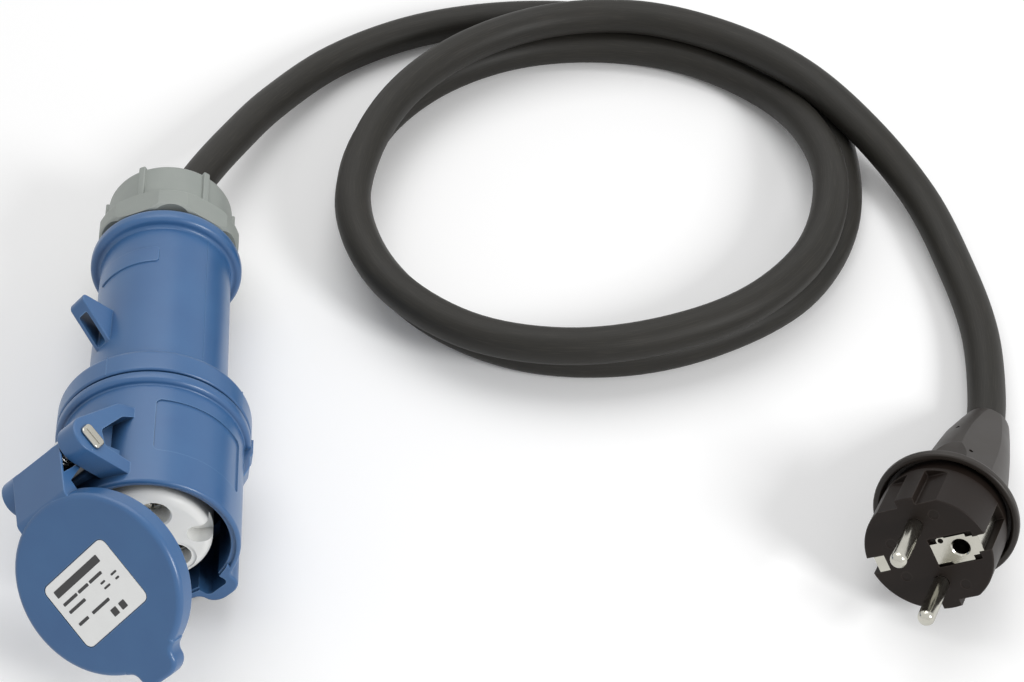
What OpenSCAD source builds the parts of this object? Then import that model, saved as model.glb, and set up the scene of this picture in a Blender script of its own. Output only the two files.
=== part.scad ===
// Adapter lead: a three-pole industrial connector, a rubber cable in two loops, and an earthed plug.
// Lengths are in millimetres. The lead lies on the plane z = 0.
// The connector is drawn with z running back from its mouth and x pointing at the lid's hinge.
// The plug is drawn with z running back from its face and x pointing at its earth hole.

/* [Connector] */
// Outer diameter of the front sleeve
sleeve_d = 51.6; // [51:0.2:53]
// Bore of the front sleeve
mouth_d = 46; // [45:0.2:47]
// Length of the sleeve, from the mouth to the bead
sleeve_l = 36.8; // [36:0.2:44]
// Length of the bead at the foot of the sleeve
bead_w = 3.9; // [3:0.1:6]
// Diameter of the bead and of the skirt behind it
skirt_d = 55.4; // [54.4:0.2:58]
// Length of the skirt
skirt_l = 8.5; // [8:0.1:12]
// Diameter of the handle where it leaves the skirt
handle_d = 40.6; // [39.8:0.2:43]
// Diameter of the handle at its rear collar
handle_end_d = 39.4; // [38.6:0.2:41]
// Length of the handle between skirt and collar
handle_l = 61.2; // [56:0.2:80]
// Diameter of the rear collar
collar_d = 46; // [44:0.2:50]
// Length of the rear collar
collar_w = 5.3; // [4:0.1:8]
// Width of the key lobe
key_w = 12; // [11:0.5:14]
// Length of the key lobe
key_l = 24; // [16:0.5:30]

/* [Contacts] */
// Diameter of the contact carrier
carrier_d = 36; // [35:0.2:37]
// Depth of the carrier's face behind the mouth
face_depth = 2; // [1:0.5:4]
// Diameter of the circle that the contacts lie on
contact_circle_d = 20.4; // [20:0.2:21]
// Bore of the line and neutral contacts
live_bore = 5; // [4.8:0.1:5.4]
// Bore of the earth contact
earth_bore = 7; // [6.8:0.1:7.4]
// Outer diameter of the line and neutral contacts
live_contact_d = 8.6; // [7.6:0.1:8.8]
// Outer diameter of the earth contact
earth_contact_d = 9; // [8.8:0.1:9.2]
// Depth of the contacts behind the carrier's face
contact_depth = 6; // [3:0.5:8]

/* [Lid] */
// Angle that the lid stands open in the drawn pose
lid_open = 37.35; // [10:0.05:90]
// Diameter of the lid
lid_d = 51; // [50:0.2:52]
// Depth of the lid
lid_h = 6; // [5.5:0.1:7]
// Thickness of the lid's plate
lid_plate = 2.2; // [1.8:0.1:2.6]
// Width of the label
label_w = 25.5; // [16:0.5:28]
// Height of the label
label_h = 20.2; // [12:0.2:22]

/* [Hinge] */
// Distance of the hinge pin from the connector's axis
hinge_r = 34; // [33.5:0.1:36]
// Depth of the hinge pin behind the mouth
hinge_t = 8; // [7.5:0.1:10]
// Width over the outer faces of the two ears
ear_span = 32.4; // [30:0.2:34]
// Thickness of an ear
ear_w = 7; // [5:0.1:7.4]
// Radius of the ears' round ends
ear_r = 5.7; // [5:0.1:6]
// Diameter of the hinge pin
pin_d = 4.4; // [3:0.1:4.6]

/* [Gland nut] */
// Diameter of the nut's base ring
nut_base_d = 41.6; // [40.4:0.2:43]
// Diameter of the nut's body
nut_d = 38.6; // [37.4:0.2:39.8]
// Length of the nut
nut_l = 22.9; // [21:0.1:28]

/* [Cable] */
// Diameter of the cable
cable_d = 11.5; // [11:0.1:11.6]
// Diameter of each core
core_d = 3.1; // [2.4:0.1:3.3]

/* [Plug] */
// Diameter of the pin carrier
insert_d = 36.4; // [36:0.2:38]
// Length of the pin carrier in front of the hood
insert_l = 17.6; // [16:0.2:22]
// Diameter of the hood's flange
flange_d = 41.8; // [40.4:0.2:44]
// Length of the hood's flange
flange_w = 5.4; // [5:0.1:7]
// Length of the plug, from its face to the cable
plug_l = 70; // [68:0.5:80]
// Diameter of the two pins
prong_d = 4.8; // [4.6:0.1:5]
// Length of the pins in front of the face
prong_l = 19; // [16:0.5:20]
// Distance between the two pins
prong_pitch = 19; // [18.6:0.2:19.4]
// Width of the side earth clips
clip_w = 5; // [4:0.1:5.4]

/* [Hidden] */
$fn = 64;

// Clearance between pieces that don't move on each other
fit = 0.1;
// Clearance of the hinge pin
run = 0.05;
// Clearance of a rubber bush on the cable
grip = 0.05;
// Small broken edges
edge = 0.5;
// Overlap that makes cuts clean
cut = 1;
// Inset where a flat runs onto a round
graze = 0.1;

// Connector radii
sleeve_r = sleeve_d / 2;
mouth_r = mouth_d / 2;
skirt_r = skirt_d / 2;
skirt_wall = 2.2;
spigot_r = skirt_r - skirt_wall - fit;
spigot_in_r = spigot_r - 2.6;
carrier_r = carrier_d / 2;
carrier_back_r = 15.8;
handle_in_r = 17;
collar_r = collar_d / 2;
neck_r = 16;
cable_r = cable_d / 2;

// Stations along the connector, from the mouth
shelf_t = 3;
shelf_z = sleeve_l - 3.8;
flange_z = shelf_z + shelf_t;
carrier_flange_w = 3;
flange_back = flange_z + carrier_flange_w;
seam_z = sleeve_l + bead_w;
seam_gap = 0.2;
skirt_z = seam_z + seam_gap;
handle_z = skirt_z + skirt_l;
skirt_floor = 2.4;
ring_t = 1.6;
spigot_end = handle_z - skirt_floor - ring_t;
carrier_tail = 16;
carrier_end = handle_z + carrier_tail;
collar_z = handle_z + handle_l;
neck_z = collar_z + collar_w;
nut_gap = 1;
nut_z = neck_z + nut_gap;
nut_end = nut_z + nut_l;
nut_cap = 3;
cap_z = nut_end - nut_cap;
neck_l = 12;
neck_end = neck_z + neck_l;
seal_z = collar_z + 1.4;
stop_z = seal_z - 3;
seal_r = 10;
sheath_z = collar_z - 12.6;

// Key lobe
key_out_r = sleeve_r + 5;
key_round = 5;
key_slot_w = 8;
key_slot_r = mouth_r + 3.5;
key_slot_end = 3;

// Panel on the sleeve and raised strip on the handle, by angle
panel_depth = 0.3;
panel_z = 11.8;
panel_l = 19.2;
panel_from = 52;
panel_turn = 67;
strip_h = 0.5;
strip_z = collar_z - 15.9;
strip_w = 6.3;
strip_from = -17;
strip_turn = 62;

// Strap eye on the handle: a wedge with a slot along the handle, seen from the side as height and station
eye_angle = -4;
eye_w = 6.4;
eye_back = 45.1;
eye_z = collar_z - eye_back;
eye_root_r = 18.4;
eye_outline = [[0, 0], [1.6, 0], [11.9, 10.6], [11.9, 12.4], [11.2, 13.1], [0, 13.1]];
eye_slot_w = 2.8;
eye_slot_h = 6.7;
eye_slot_from = handle_d / 2 + fit;

// Latch fin in front of the seam: radius and station
latch_angle = 143;
latch_w = 5;
latch_outline = [[sleeve_r - edge, seam_z], [skirt_r + 0.5, seam_z], [skirt_r + 0.5, sleeve_l - 1],
  [skirt_r - 0.3, sleeve_l - 2.5], [skirt_r - 0.3, sleeve_l - 6.3], [sleeve_r - edge, sleeve_l - 12]];

// Hinge ears: where their arms leave the sleeve
ear_out = ear_span / 2;
ear_in = ear_out - ear_w;
ear_foot_x = 17.4;
ear_foot_front = 2.9;
ear_foot_rear = 28.6;
ear_knee = [hinge_r - 8.2, hinge_t + 17.7];
ear_web = 2;
ear_pocket = ear_w - ear_web;
pocket_x = ear_foot_x - edge;
pocket_outline = [[pocket_x, hinge_t - 1.1], [hinge_r - 5.3, hinge_t - 0.7], [hinge_r - 3.4, hinge_t + 4.2],
  [hinge_r - 10, hinge_t + 13.6], [hinge_r - 14.7, hinge_t + 16.4], [pocket_x, hinge_t + 17.2]];
pin_r = pin_d / 2;
pin_head = 0.9;
pin_head_l = 7;
pin_head_w = 4.6;

// Contact positions in angle
live_angle = 60;
earth_angle = 180;
contact_ring_r = contact_circle_d / 2;
contact_z = face_depth + contact_depth;
contact_end = carrier_end - 1;
pin_way = 26;
wire_way = 10;
rim_round = 2.6;
earth_face_d = 12;
earth_face_depth = 0.6;
notch_w = 6.4;
notch_r = 14.4;
notch_angle = 127;
notch_depth = 5;
screw_r = 1.75;
screw_z = contact_end - 5;
core_r = core_d / 2;
bundle_r = 2.4;
core_lead = 3;

// Lid
lid_r = lid_d / 2;
lid_gap = 0.4;
lid_round = 1.8;
lid_face = -lid_gap - lid_h;
lid_in_r = 20.6;
lid_ring_r = 24.6;
lid_ring_w = 2.2;
lid_ring_depth = 2;
lid_ring_proud = 0.2;
lid_key_r = lid_r + 5;
label_t = 0.3;
label_round = 2;
label_gap = 0.2;
label_x = 1;
side_gap = 0.3;
arm_half = ear_in - side_gap;
barrel_r = 4.8;
arm_foot_x = sleeve_r + 0.9;
arm_root_x = 23;
coil_room = 4.2;
coil_from = arm_half - coil_room;
coil_room_r = 4.7;
coil_r = 3.5;
wire_r = 0.45;
coil_turns = 3;
coil_pitch = 1.15;

// Gland nut
nut_base_r = nut_base_d / 2;
nut_base_w = 9.2;
nut_r = nut_d / 2;
nut_round = 1.6;
nut_hole_r = cable_r + 2.2;
nut_flat_r = nut_r + 0.2;
rib_count = 6;
rib_from = 26;
rib_step = 360 / rib_count;
rib_w = 2.6;
rib_h = 0.8;
cage_in_r = cable_r + 1;
cage_tip_r = cable_r + 4;
cage_slots = 6;
slot_z = neck_end + 3;
cage_slot_w = 2;

// Plug
insert_r = insert_d / 2;
insert_seat = 4.2;
insert_back = insert_l + insert_seat;
stem_r = 12.2;
stem_l = 3;
stem_end = insert_back + stem_l;
flange_r = flange_d / 2;
flange_end = insert_l + flange_w;
room_r = 12.7;
room_l = 16;
room_end = insert_l + room_l;
throat_l = 30;
throat_z = insert_l + throat_l;
neck_base_r = 15.6;
neck_mid_r = 10.9;
neck_end_r = cable_r + 0.9;
neck_swell = 2.1;
prong_r = prong_d / 2;
prong_tip = 1.8;
prong_root = 0.6;
shank_r = prong_r - 0.2;
block_r = 3;
block_l = 9;
block_z = stem_end + fit;
block_end = block_z + block_l;
plug_screw_r = 1.3;
clip_t = 1;
clip_out = insert_r - 2.4;
clip_in = 12.6;
clip_l = insert_l - 1.6;
plate_in = 1.6;
plate_out = 14.4;
plate_w = 8;
clip_mid = (clip_out - clip_t - fit + insert_r + cut) / 2;
clip_room = insert_r + cut - clip_out + clip_t + fit;
earth_hole_x = 9.8;
earth_hole_r = 2.45;
earth_tube_r = 3.3;
earth_tube_l = 10.6;
bridge_z = 12.2;
guide_w = 3.8;
guide_x = 2.7;
guide_depth = 2.4;
earth_screw_x = -5;
earth_screw_l = 6;

// Where the lead lies
hinge_roll = 133;
stand_x = 5;
stand_y = -50;
tilt = atan((skirt_r - collar_r) / (neck_z - handle_z));
mouth_h = skirt_r * cos(tilt) + handle_z * sin(tilt);
plug_at = [219.5, -61];
plug_yaw = -26.6;
plug_roll = 35;
plug_lift = 0.4;
rest_z = flange_end - edge;
bend_z = plug_l + 4;
rest_l = bend_z - rest_z;
rest_h = cable_r + plug_lift;
plug_tilt = acos(rest_h / sqrt(pow(flange_r, 2) + pow(rest_l, 2))) - atan(rest_l / flange_r);
plug_h = flange_r * cos(plug_tilt) + rest_z * sin(plug_tilt);
plug_axis = [-sin(plug_yaw) * cos(plug_tilt), cos(plug_yaw) * cos(plug_tilt), -sin(plug_tilt)];

// Cable route: two clockwise turns, the second lying on the first
lo = cable_r;
route = [
  [13.6, 108, 19.3], [23.3, 130, 14.5], [36, 153.5, 9.5], [56.5, 177, lo + 0.5], [84, 191.5, lo],
  [114.5, 197, lo], [145.5, 195, lo], [175.5, 186.5, lo], [202, 170.5, lo], [219.5, 145.5, lo],
  [223.5, 115, lo], [218, 84.5, lo], [201.5, 58.5, lo], [175, 42, lo], [145, 34.5, lo], [114, 38, lo],
  [87.5, 53.5, lo], [69, 78.5, lo], [62, 108.5, lo], [68.5, 139, lo], [88, 163, lo],
  [115.5, 177.5, lo], [146, 180.5, lo], [176.5, 173, lo], [201, 154.5, 6.5], [213.5, 127, 12.5],
  [216, 96.5, 17], [206.5, 66.5, 17.5], [185, 44.5, 17.5], [156.5, 33, 17], [125.5, 30.5, 16.5],
  [96, 39.5, 16], [73, 60.5, 16.5], [62.5, 89.5, 17.5], [66.5, 120, 17], [80, 148, 17],
  [102.5, 169, 17.5], [131.5, 181, 17.5], [162, 181.5, 17], [190.5, 169, 17], [213, 148, 18],
  [231, 122.5, 16], [246, 96.5, 7.5], [253.5, 66.5, lo + 0.5], [254.5, 39.5, lo], [254, 13.5, lo + 0.5]
];
// The sheath runs straight for twice this length, then leans sideways in the nut
cable_hold = 15.5;
cable_lean = 1.3;
cable_rings = 80;
cable_sides = 10;
core_sides = 8;
wire_sides = 6;

// Point on the connector's axis, and on the plug's
function con_at(t) = [stand_x, stand_y + t * cos(tilt), mouth_h - t * sin(tilt)];
function plug_pt(t) = [plug_at.x, plug_at.y, plug_h] + t * plug_axis;

// Smooth curve through a list of points, at a running position u
function spline(p, u) =
  let (n = len(p) - 1, i = min(floor(u), n - 1), f = u - i)
  let (a = p[max(i - 1, 0)], b = p[i], c = p[i + 1], d = p[min(i + 2, n)])
  b + f * ((c - a) / 2 + f * (a - 2.5 * b + 2 * c - d / 2 + f * (1.5 * (b - c) + (d - a) / 2)));
function unit(v) = v / norm(v);

// Points from a to b along z that leave a and reach b without a kink
function swerve(a, b) = [
  for (i = [0:12])
    let (f = i / 12, e = f * f * (3 - 2 * f))
    [a.x + e * (b.x - a.x), a.y + e * (b.y - a.y), a.z + f * (b.z - a.z)]
];

// Point where a line from p touches a circle, on one side
function touch(p, c, r, side) =
  let (v = p - c, a = atan2(v.y, v.x) + side * acos(r / norm(v)))
  c + r * [cos(a), sin(a)];

// Quarter of a circle as points
function corner(c, r, from) = [for (i = [0:8]) c + r * [cos(from + i * 11.25), sin(from + i * 11.25)]];

cable_ends = [con_at(sheath_z), con_at(sheath_z + cable_hold), con_at(sheath_z + 2 * cable_hold),
  con_at(nut_end) + [cable_lean, 0, 0]];
cable_path = concat(cable_ends, route, [plug_pt(plug_l - 4), plug_pt(throat_z + 1)]);
cable_step = (len(cable_path) - 1) / (cable_rings - 1);
cable_bends = [for (i = [0:cable_rings - 1]) spline(cable_path, i * cable_step)];
cable_line = concat(cable_bends, [plug_pt(throat_z)]);

// Tube along a line of points; ref is a direction that the line never runs in
module tube(line, r, sides, ref) {
  n = len(line);
  pts = [
    for (i = [0:n - 1])
      let (t = unit(line[min(i + 1, n - 1)] - line[max(i - 1, 0)]))
      let (s = unit(cross(t, ref)), w = cross(s, t))
      for (k = [0:sides - 1]) line[i] + r * (cos(k * 360 / sides) * s + sin(k * 360 / sides) * w)
  ];
  sides_a = [for (i = [0:n - 2], k = [0:sides - 1])
    [i * sides + k, i * sides + (k + 1) % sides, (i + 1) * sides + k]];
  sides_b = [for (i = [0:n - 2], k = [0:sides - 1])
    [(i + 1) * sides + k, i * sides + (k + 1) % sides, (i + 1) * sides + (k + 1) % sides]];
  first = [[for (k = [0:sides - 1]) sides - 1 - k]];
  last = [[for (k = [0:sides - 1]) (n - 1) * sides + k]];
  polyhedron(pts, concat(sides_a, sides_b, first, last));
}

module connector_place() {
  translate([stand_x, stand_y, mouth_h])
    rotate([-90 - tilt, 0, 0])
      rotate([0, 0, -hinge_roll])
        children();
}

module lid_place() {
  connector_place()
    translate([hinge_r, 0, hinge_t])
      rotate([0, -lid_open, 0])
        translate([-hinge_r, 0, -hinge_t])
          children();
}

module plug_place() {
  translate([plug_at.x, plug_at.y, plug_h])
    rotate([0, 0, plug_yaw])
      rotate([-90 - plug_tilt, 0, 0])
        rotate([0, 0, -plug_roll])
          children();
}

// Stands a flat outline drawn in x and z on the y axis, between two stations
module across(from, to) {
  translate([0, to, 0])
    rotate([90, 0, 0])
      linear_extrude(to - from)
        children();
}

// Cylinder about the hinge axis
module hinge_rod(r, from, to) {
  across(from, to)
    translate([hinge_r, hinge_t])
      circle(r);
}

module rounded(w, h, r) {
  square([w - 2 * r, h], center = true);
  square([w, h - 2 * r], center = true);
  for (sx = [-1, 1], sy = [-1, 1])
    translate([sx * (w / 2 - r), sy * (h / 2 - r)])
      circle(r);
}

// Lobe on the side away from the hinge
module key_outline(out_r, root_r) {
  translate([-out_r + key_round, -key_w / 2])
    square([out_r - key_round - root_r, key_w]);
  translate([-out_r, -key_w / 2 + key_round])
    square([key_round, key_w - 2 * key_round]);
  for (s = [-1, 1])
    translate([-out_r + key_round, s * (key_w / 2 - key_round)])
      circle(key_round);
}

module ear(from, to) {
  hub = [hinge_r, hinge_t];
  front = [ear_foot_x, ear_foot_front];
  rear = [ear_foot_x, ear_foot_rear];
  across(from, to)
    polygon([front, touch(front, hub, ear_r - graze, 1), hub, touch(ear_knee, hub, ear_r - graze, -1),
      ear_knee, rear]);
  hinge_rod(ear_r, from, to);
}

module front_housing() {
  color("#4a6d9e")
    connector_place()
      difference() {
        union() {
          rotate_extrude()
            polygon([
              [mouth_r, edge], [mouth_r + edge, 0], [sleeve_r - edge, 0], [sleeve_r, edge],
              [sleeve_r, sleeve_l], [skirt_r - edge, sleeve_l], [skirt_r, sleeve_l + edge],
              [skirt_r, seam_z], [spigot_r, seam_z],
              [spigot_r, spigot_end], [spigot_in_r, spigot_end], [spigot_in_r, flange_z],
              [carrier_r + fit, flange_z], [carrier_r + fit, shelf_z], [mouth_r, shelf_z]
            ]);
          linear_extrude(key_l)
            difference() {
              key_outline(key_out_r, mouth_r - 4);
              circle(mouth_r + edge);
            }
          difference() {
            union() {
              ear(ear_in, ear_out);
              ear(-ear_out, -ear_in);
            }
            across(ear_out - ear_pocket, ear_out + cut)
              polygon(pocket_outline);
            across(-ear_out - cut, -ear_out + ear_pocket)
              polygon(pocket_outline);
            hinge_rod(pin_r + run, -ear_out - cut, ear_out + cut);
            cylinder(r = mouth_r + edge, h = shelf_z);
          }
          rotate([0, 0, latch_angle])
            across(-latch_w / 2, latch_w / 2)
              polygon(latch_outline);
        }
        translate([0, 0, -cut])
          linear_extrude(key_l - key_slot_end + cut)
            translate([-key_slot_r, -key_slot_w / 2])
              square([key_slot_r - mouth_r + 4, key_slot_w]);
        rotate([0, 0, panel_from])
          rotate_extrude(angle = panel_turn)
            translate([sleeve_r - panel_depth, panel_z])
              square([cut, panel_l]);
      }
}

module rear_housing() {
  color("#4a6d9e")
    connector_place() {
      rotate_extrude()
        polygon([
          [spigot_r + fit, skirt_z], [skirt_r, skirt_z], [skirt_r, handle_z - edge],
          [skirt_r - edge, handle_z], [handle_d / 2, handle_z], [handle_end_d / 2, collar_z],
          [collar_r - edge, collar_z],
          [collar_r, collar_z + edge], [collar_r, neck_z], [neck_r, neck_z],
          [neck_r, neck_end], [seal_r + fit, neck_end], [seal_r + fit, seal_z], [cable_r + 1, seal_z],
          [cable_r + 1, stop_z], [handle_in_r, stop_z], [handle_in_r, handle_z - skirt_floor],
          [spigot_r + fit, handle_z - skirt_floor]
        ]);
      rotate([0, 0, strip_from])
        rotate_extrude(angle = strip_turn)
          translate([handle_in_r + 1, strip_z])
            square([handle_end_d / 2 + strip_h - handle_in_r - 1, strip_w]);
      rotate([0, 0, eye_angle])
        difference() {
          translate([eye_root_r, 0, eye_z])
            across(-eye_w / 2, eye_w / 2)
              polygon(eye_outline);
          translate([eye_slot_from, -eye_slot_w / 2, eye_z])
            cube([eye_slot_h, eye_slot_w, handle_l]);
        }
    }
}

module gland_nut() {
  color("#9ba09b")
    connector_place() {
      difference() {
        rotate_extrude()
          polygon(concat(
            [[neck_r + fit, nut_z], [nut_base_r - edge, nut_z], [nut_base_r, nut_z + edge],
              [nut_base_r, nut_z + nut_base_w - edge], [nut_base_r - edge, nut_z + nut_base_w],
              [nut_r, nut_z + nut_base_w]],
            corner([nut_r - nut_round, nut_end - nut_round], nut_round, 0),
            [[nut_hole_r, nut_end], [nut_hole_r, cap_z], [neck_r + fit, cap_z]]));
        for (i = [0:rib_count - 1])
          rotate([0, 0, rib_from + (i + 0.5) * rib_step])
            translate([nut_flat_r, -nut_base_r, nut_z - cut])
              cube([nut_base_r, 2 * nut_base_r, nut_l]);
      }
      for (i = [0:rib_count - 1])
        rotate([0, 0, rib_from + i * rib_step])
          translate([nut_r - edge, -rib_w / 2, nut_z + nut_base_w - edge])
            cube([rib_h + edge, rib_w, nut_l - nut_base_w - nut_round]);
    }
}

module live_spot(side) {
  rotate([0, 0, side * live_angle])
    translate([contact_ring_r, 0, 0])
      children();
}

module earth_spot() {
  rotate([0, 0, earth_angle])
    translate([contact_ring_r, 0, 0])
      children();
}

// Radial rod at a terminal, seen from its contact
module screw_rod(r, out_r) {
  translate([core_r, 0, screw_z])
    rotate([0, 90, 0])
      cylinder(r = r, h = out_r - contact_ring_r - core_r);
}

module contact_carrier() {
  color("#dcdcd7")
    connector_place()
      difference() {
        rotate_extrude()
          polygon(concat(
            [for (p = corner([carrier_r - rim_round, face_depth + rim_round], rim_round, -90)) p],
            [[carrier_r, flange_z], [spigot_in_r - fit, flange_z], [spigot_in_r - fit, flange_back],
              [carrier_back_r, flange_back], [carrier_back_r, carrier_end], [0, carrier_end],
              [0, face_depth]]));
        for (s = [-1, 1])
          live_spot(s) {
            cylinder(d = live_contact_d + 2 * fit, h = carrier_end + cut);
            screw_rod(screw_r + 2 * fit, carrier_back_r + cut);
          }
        earth_spot() {
          cylinder(d = earth_contact_d + 2 * fit, h = carrier_end + cut);
          cylinder(d = earth_face_d, h = face_depth + earth_face_depth);
          screw_rod(screw_r + 2 * fit, carrier_back_r + cut);
        }
        for (s = [-1, 1])
          rotate([0, 0, s * notch_angle])
            translate([notch_r, 0, 0]) {
              cylinder(d = notch_w, h = face_depth + notch_depth);
              translate([0, -notch_w / 2, 0])
                cube([carrier_r, notch_w, face_depth + notch_depth]);
            }
      }
}

// Sleeve contact with its pin way in front and its wire way behind
module contact(out_d, bore_d) {
  difference() {
    translate([0, 0, contact_z])
      cylinder(d = out_d, h = contact_end - contact_z);
    translate([0, 0, contact_z - cut])
      cylinder(d = bore_d, h = pin_way + cut);
    translate([0, 0, contact_end - wire_way])
      cylinder(r = core_r + fit, h = wire_way + cut);
    screw_rod(screw_r + fit, contact_ring_r + out_d);
  }
}

module line_contact() {
  color("#c9a95a")
    connector_place()
      live_spot(1)
        contact(live_contact_d, live_bore);
}

module neutral_contact() {
  color("#c9a95a")
    connector_place()
      live_spot(-1)
        contact(live_contact_d, live_bore);
}

module earth_contact() {
  color("#c9a95a")
    connector_place()
      earth_spot()
        contact(earth_contact_d, earth_bore);
}

module terminal_screws() {
  color("#b9babd")
    connector_place() {
      for (s = [-1, 1])
        live_spot(s)
          screw_rod(screw_r, carrier_back_r - edge);
      earth_spot()
        screw_rod(screw_r, carrier_back_r - edge);
    }
}

// Core from a terminal to the end of the cable's sheath
module core_run(angle) {
  c = [cos(angle), sin(angle), 0];
  z = [0, 0, 1];
  wide = c * contact_ring_r;
  slim = c * bundle_r;
  bend = swerve(wide + z * (contact_end + core_lead), slim + z * (sheath_z - core_lead));
  line = concat([wide + z * (contact_end - wire_way + edge)], bend, [slim + z * sheath_z]);
  tube(line, core_r, core_sides, [-sin(angle), cos(angle), 0]);
}

module line_core() {
  color("#6b4a33")
    connector_place()
      core_run(live_angle);
}

module neutral_core() {
  color("#3b62a8")
    connector_place()
      core_run(-live_angle);
}

module earth_core() {
  color("#7d9a3c")
    connector_place()
      core_run(earth_angle);
}

module lid() {
  hub = [hinge_r, hinge_t];
  foot = [arm_foot_x, -lid_gap];
  brow = [arm_root_x + 2, lid_face + edge];
  color("#4a6d9e")
    lid_place()
      difference() {
        union() {
          rotate_extrude()
            polygon(concat(
              [[0, lid_face]],
              corner([lid_r - lid_round, lid_face + lid_round], lid_round, -90),
              [[lid_r, -lid_gap], [lid_in_r, -lid_gap], [lid_in_r, lid_face + lid_plate],
                [0, lid_face + lid_plate]]));
          translate([0, 0, lid_face + edge])
            linear_extrude(lid_h - edge)
              difference() {
                key_outline(lid_key_r, lid_in_r);
                circle(lid_in_r);
              }
          across(-arm_half, arm_half)
            polygon([[arm_root_x, -lid_gap], foot, touch(foot, hub, barrel_r - graze, -1), hub,
              touch(brow, hub, barrel_r - graze, 1), brow, [arm_root_x, brow.y]]);
          hinge_rod(barrel_r, -arm_half, coil_from);
        }
        hinge_rod(coil_room_r, coil_from, arm_half + cut);
        hinge_rod(pin_r + run, -arm_half - cut, arm_half + cut);
        translate([0, 0, -lid_gap - lid_ring_depth])
          difference() {
            cylinder(r = lid_ring_r + fit, h = lid_ring_depth + cut);
            translate([0, 0, -cut])
              cylinder(r = lid_ring_r - lid_ring_w - fit, h = lid_ring_depth + 3 * cut);
          }
        translate([label_x, 0, lid_face - cut])
          linear_extrude(label_t + cut)
            rounded(label_h + 2 * label_gap, label_w + 2 * label_gap, label_round + label_gap);
      }
}

module lid_label() {
  color("#f2f2ee")
    lid_place()
      translate([label_x, 0, lid_face])
        linear_extrude(label_t)
          rounded(label_h, label_w, label_round);
}

module lid_seal() {
  color("#2b2b2b")
    lid_place()
      translate([0, 0, -lid_gap - lid_ring_depth])
        difference() {
          cylinder(r = lid_ring_r, h = lid_ring_depth + lid_ring_proud);
          translate([0, 0, -cut])
            cylinder(r = lid_ring_r - lid_ring_w, h = lid_ring_depth + 2 * cut);
        }
}

module hinge_pin() {
  color("#b9babd")
    connector_place() {
      hinge_rod(pin_r, -ear_out, ear_out + pin_head);
      across(ear_out, ear_out + pin_head)
        translate([hinge_r, hinge_t])
          rotate(30)
            square([pin_head_l, pin_head_w], center = true);
    }
}

// Coil round the pin, with a leg on the sleeve and a short tail
module lid_spring() {
  hub = [hinge_r, 0, hinge_t];
  from = coil_from + wire_r + 0.1;
  coil = [for (i = [0:coil_turns * 12])
    hub + [coil_r * cos(180 + i * 30), from + i * coil_pitch / 12, coil_r * sin(180 + i * 30)]];
  leg = [hub + [-coil_r, from, 10], hub + [-coil_r, from, 5]];
  tail = [hub + [-coil_r, from + coil_turns * coil_pitch, -1]];
  color("#b9babd")
    connector_place()
      tube(concat(leg, coil, tail), wire_r, wire_sides, [0, 1, 0]);
}

module housing_seal() {
  color("#2b2b2b")
    connector_place()
      translate([0, 0, spigot_end])
        difference() {
          cylinder(r = spigot_r, h = ring_t);
          translate([0, 0, -cut])
            cylinder(r = spigot_in_r, h = ring_t + 2 * cut);
        }
}

module gland_seal() {
  color("#2b2b2b")
    connector_place()
      translate([0, 0, seal_z])
        difference() {
          cylinder(r = seal_r, h = neck_end - seal_z);
          translate([0, 0, -cut])
            cylinder(r = cable_r + grip, h = neck_end - seal_z + 2 * cut);
        }
}

module clamp_cage() {
  color("#c8c8c4")
    connector_place()
      difference() {
        rotate_extrude()
          polygon([[cage_in_r, neck_end + fit], [neck_r - fit, neck_end + fit], [neck_r - fit, slot_z],
            [cage_tip_r, cap_z - fit], [cage_in_r, cap_z - fit]]);
        for (i = [0:cage_slots - 1])
          rotate([0, 0, i * 360 / cage_slots])
            translate([0, -cage_slot_w / 2, slot_z])
              cube([neck_r, cage_slot_w, nut_l]);
      }
}

module cable_sheath() {
  color("#33312e")
    tube(cable_line, cable_r, cable_sides, [0, 0, 1]);
}

module plug_hood() {
  color("#4b4b46")
    plug_place()
      rotate_extrude()
        polygon([
          [insert_r + fit, insert_l], [flange_r - edge, insert_l], [flange_r, insert_l + edge],
          [flange_r, flange_end - edge], [flange_r - edge, flange_end], [neck_base_r, flange_end],
          [neck_mid_r, throat_z], [neck_end_r + neck_swell, plug_l - 10], [neck_end_r, plug_l],
          [cable_r + grip, plug_l], [cable_r + grip, throat_z], [room_r, room_end], [room_r, insert_back],
          [insert_r + fit, insert_back]
        ]);
}

module prong_spot(side) {
  translate([0, side * prong_pitch / 2, 0])
    children();
}

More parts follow.
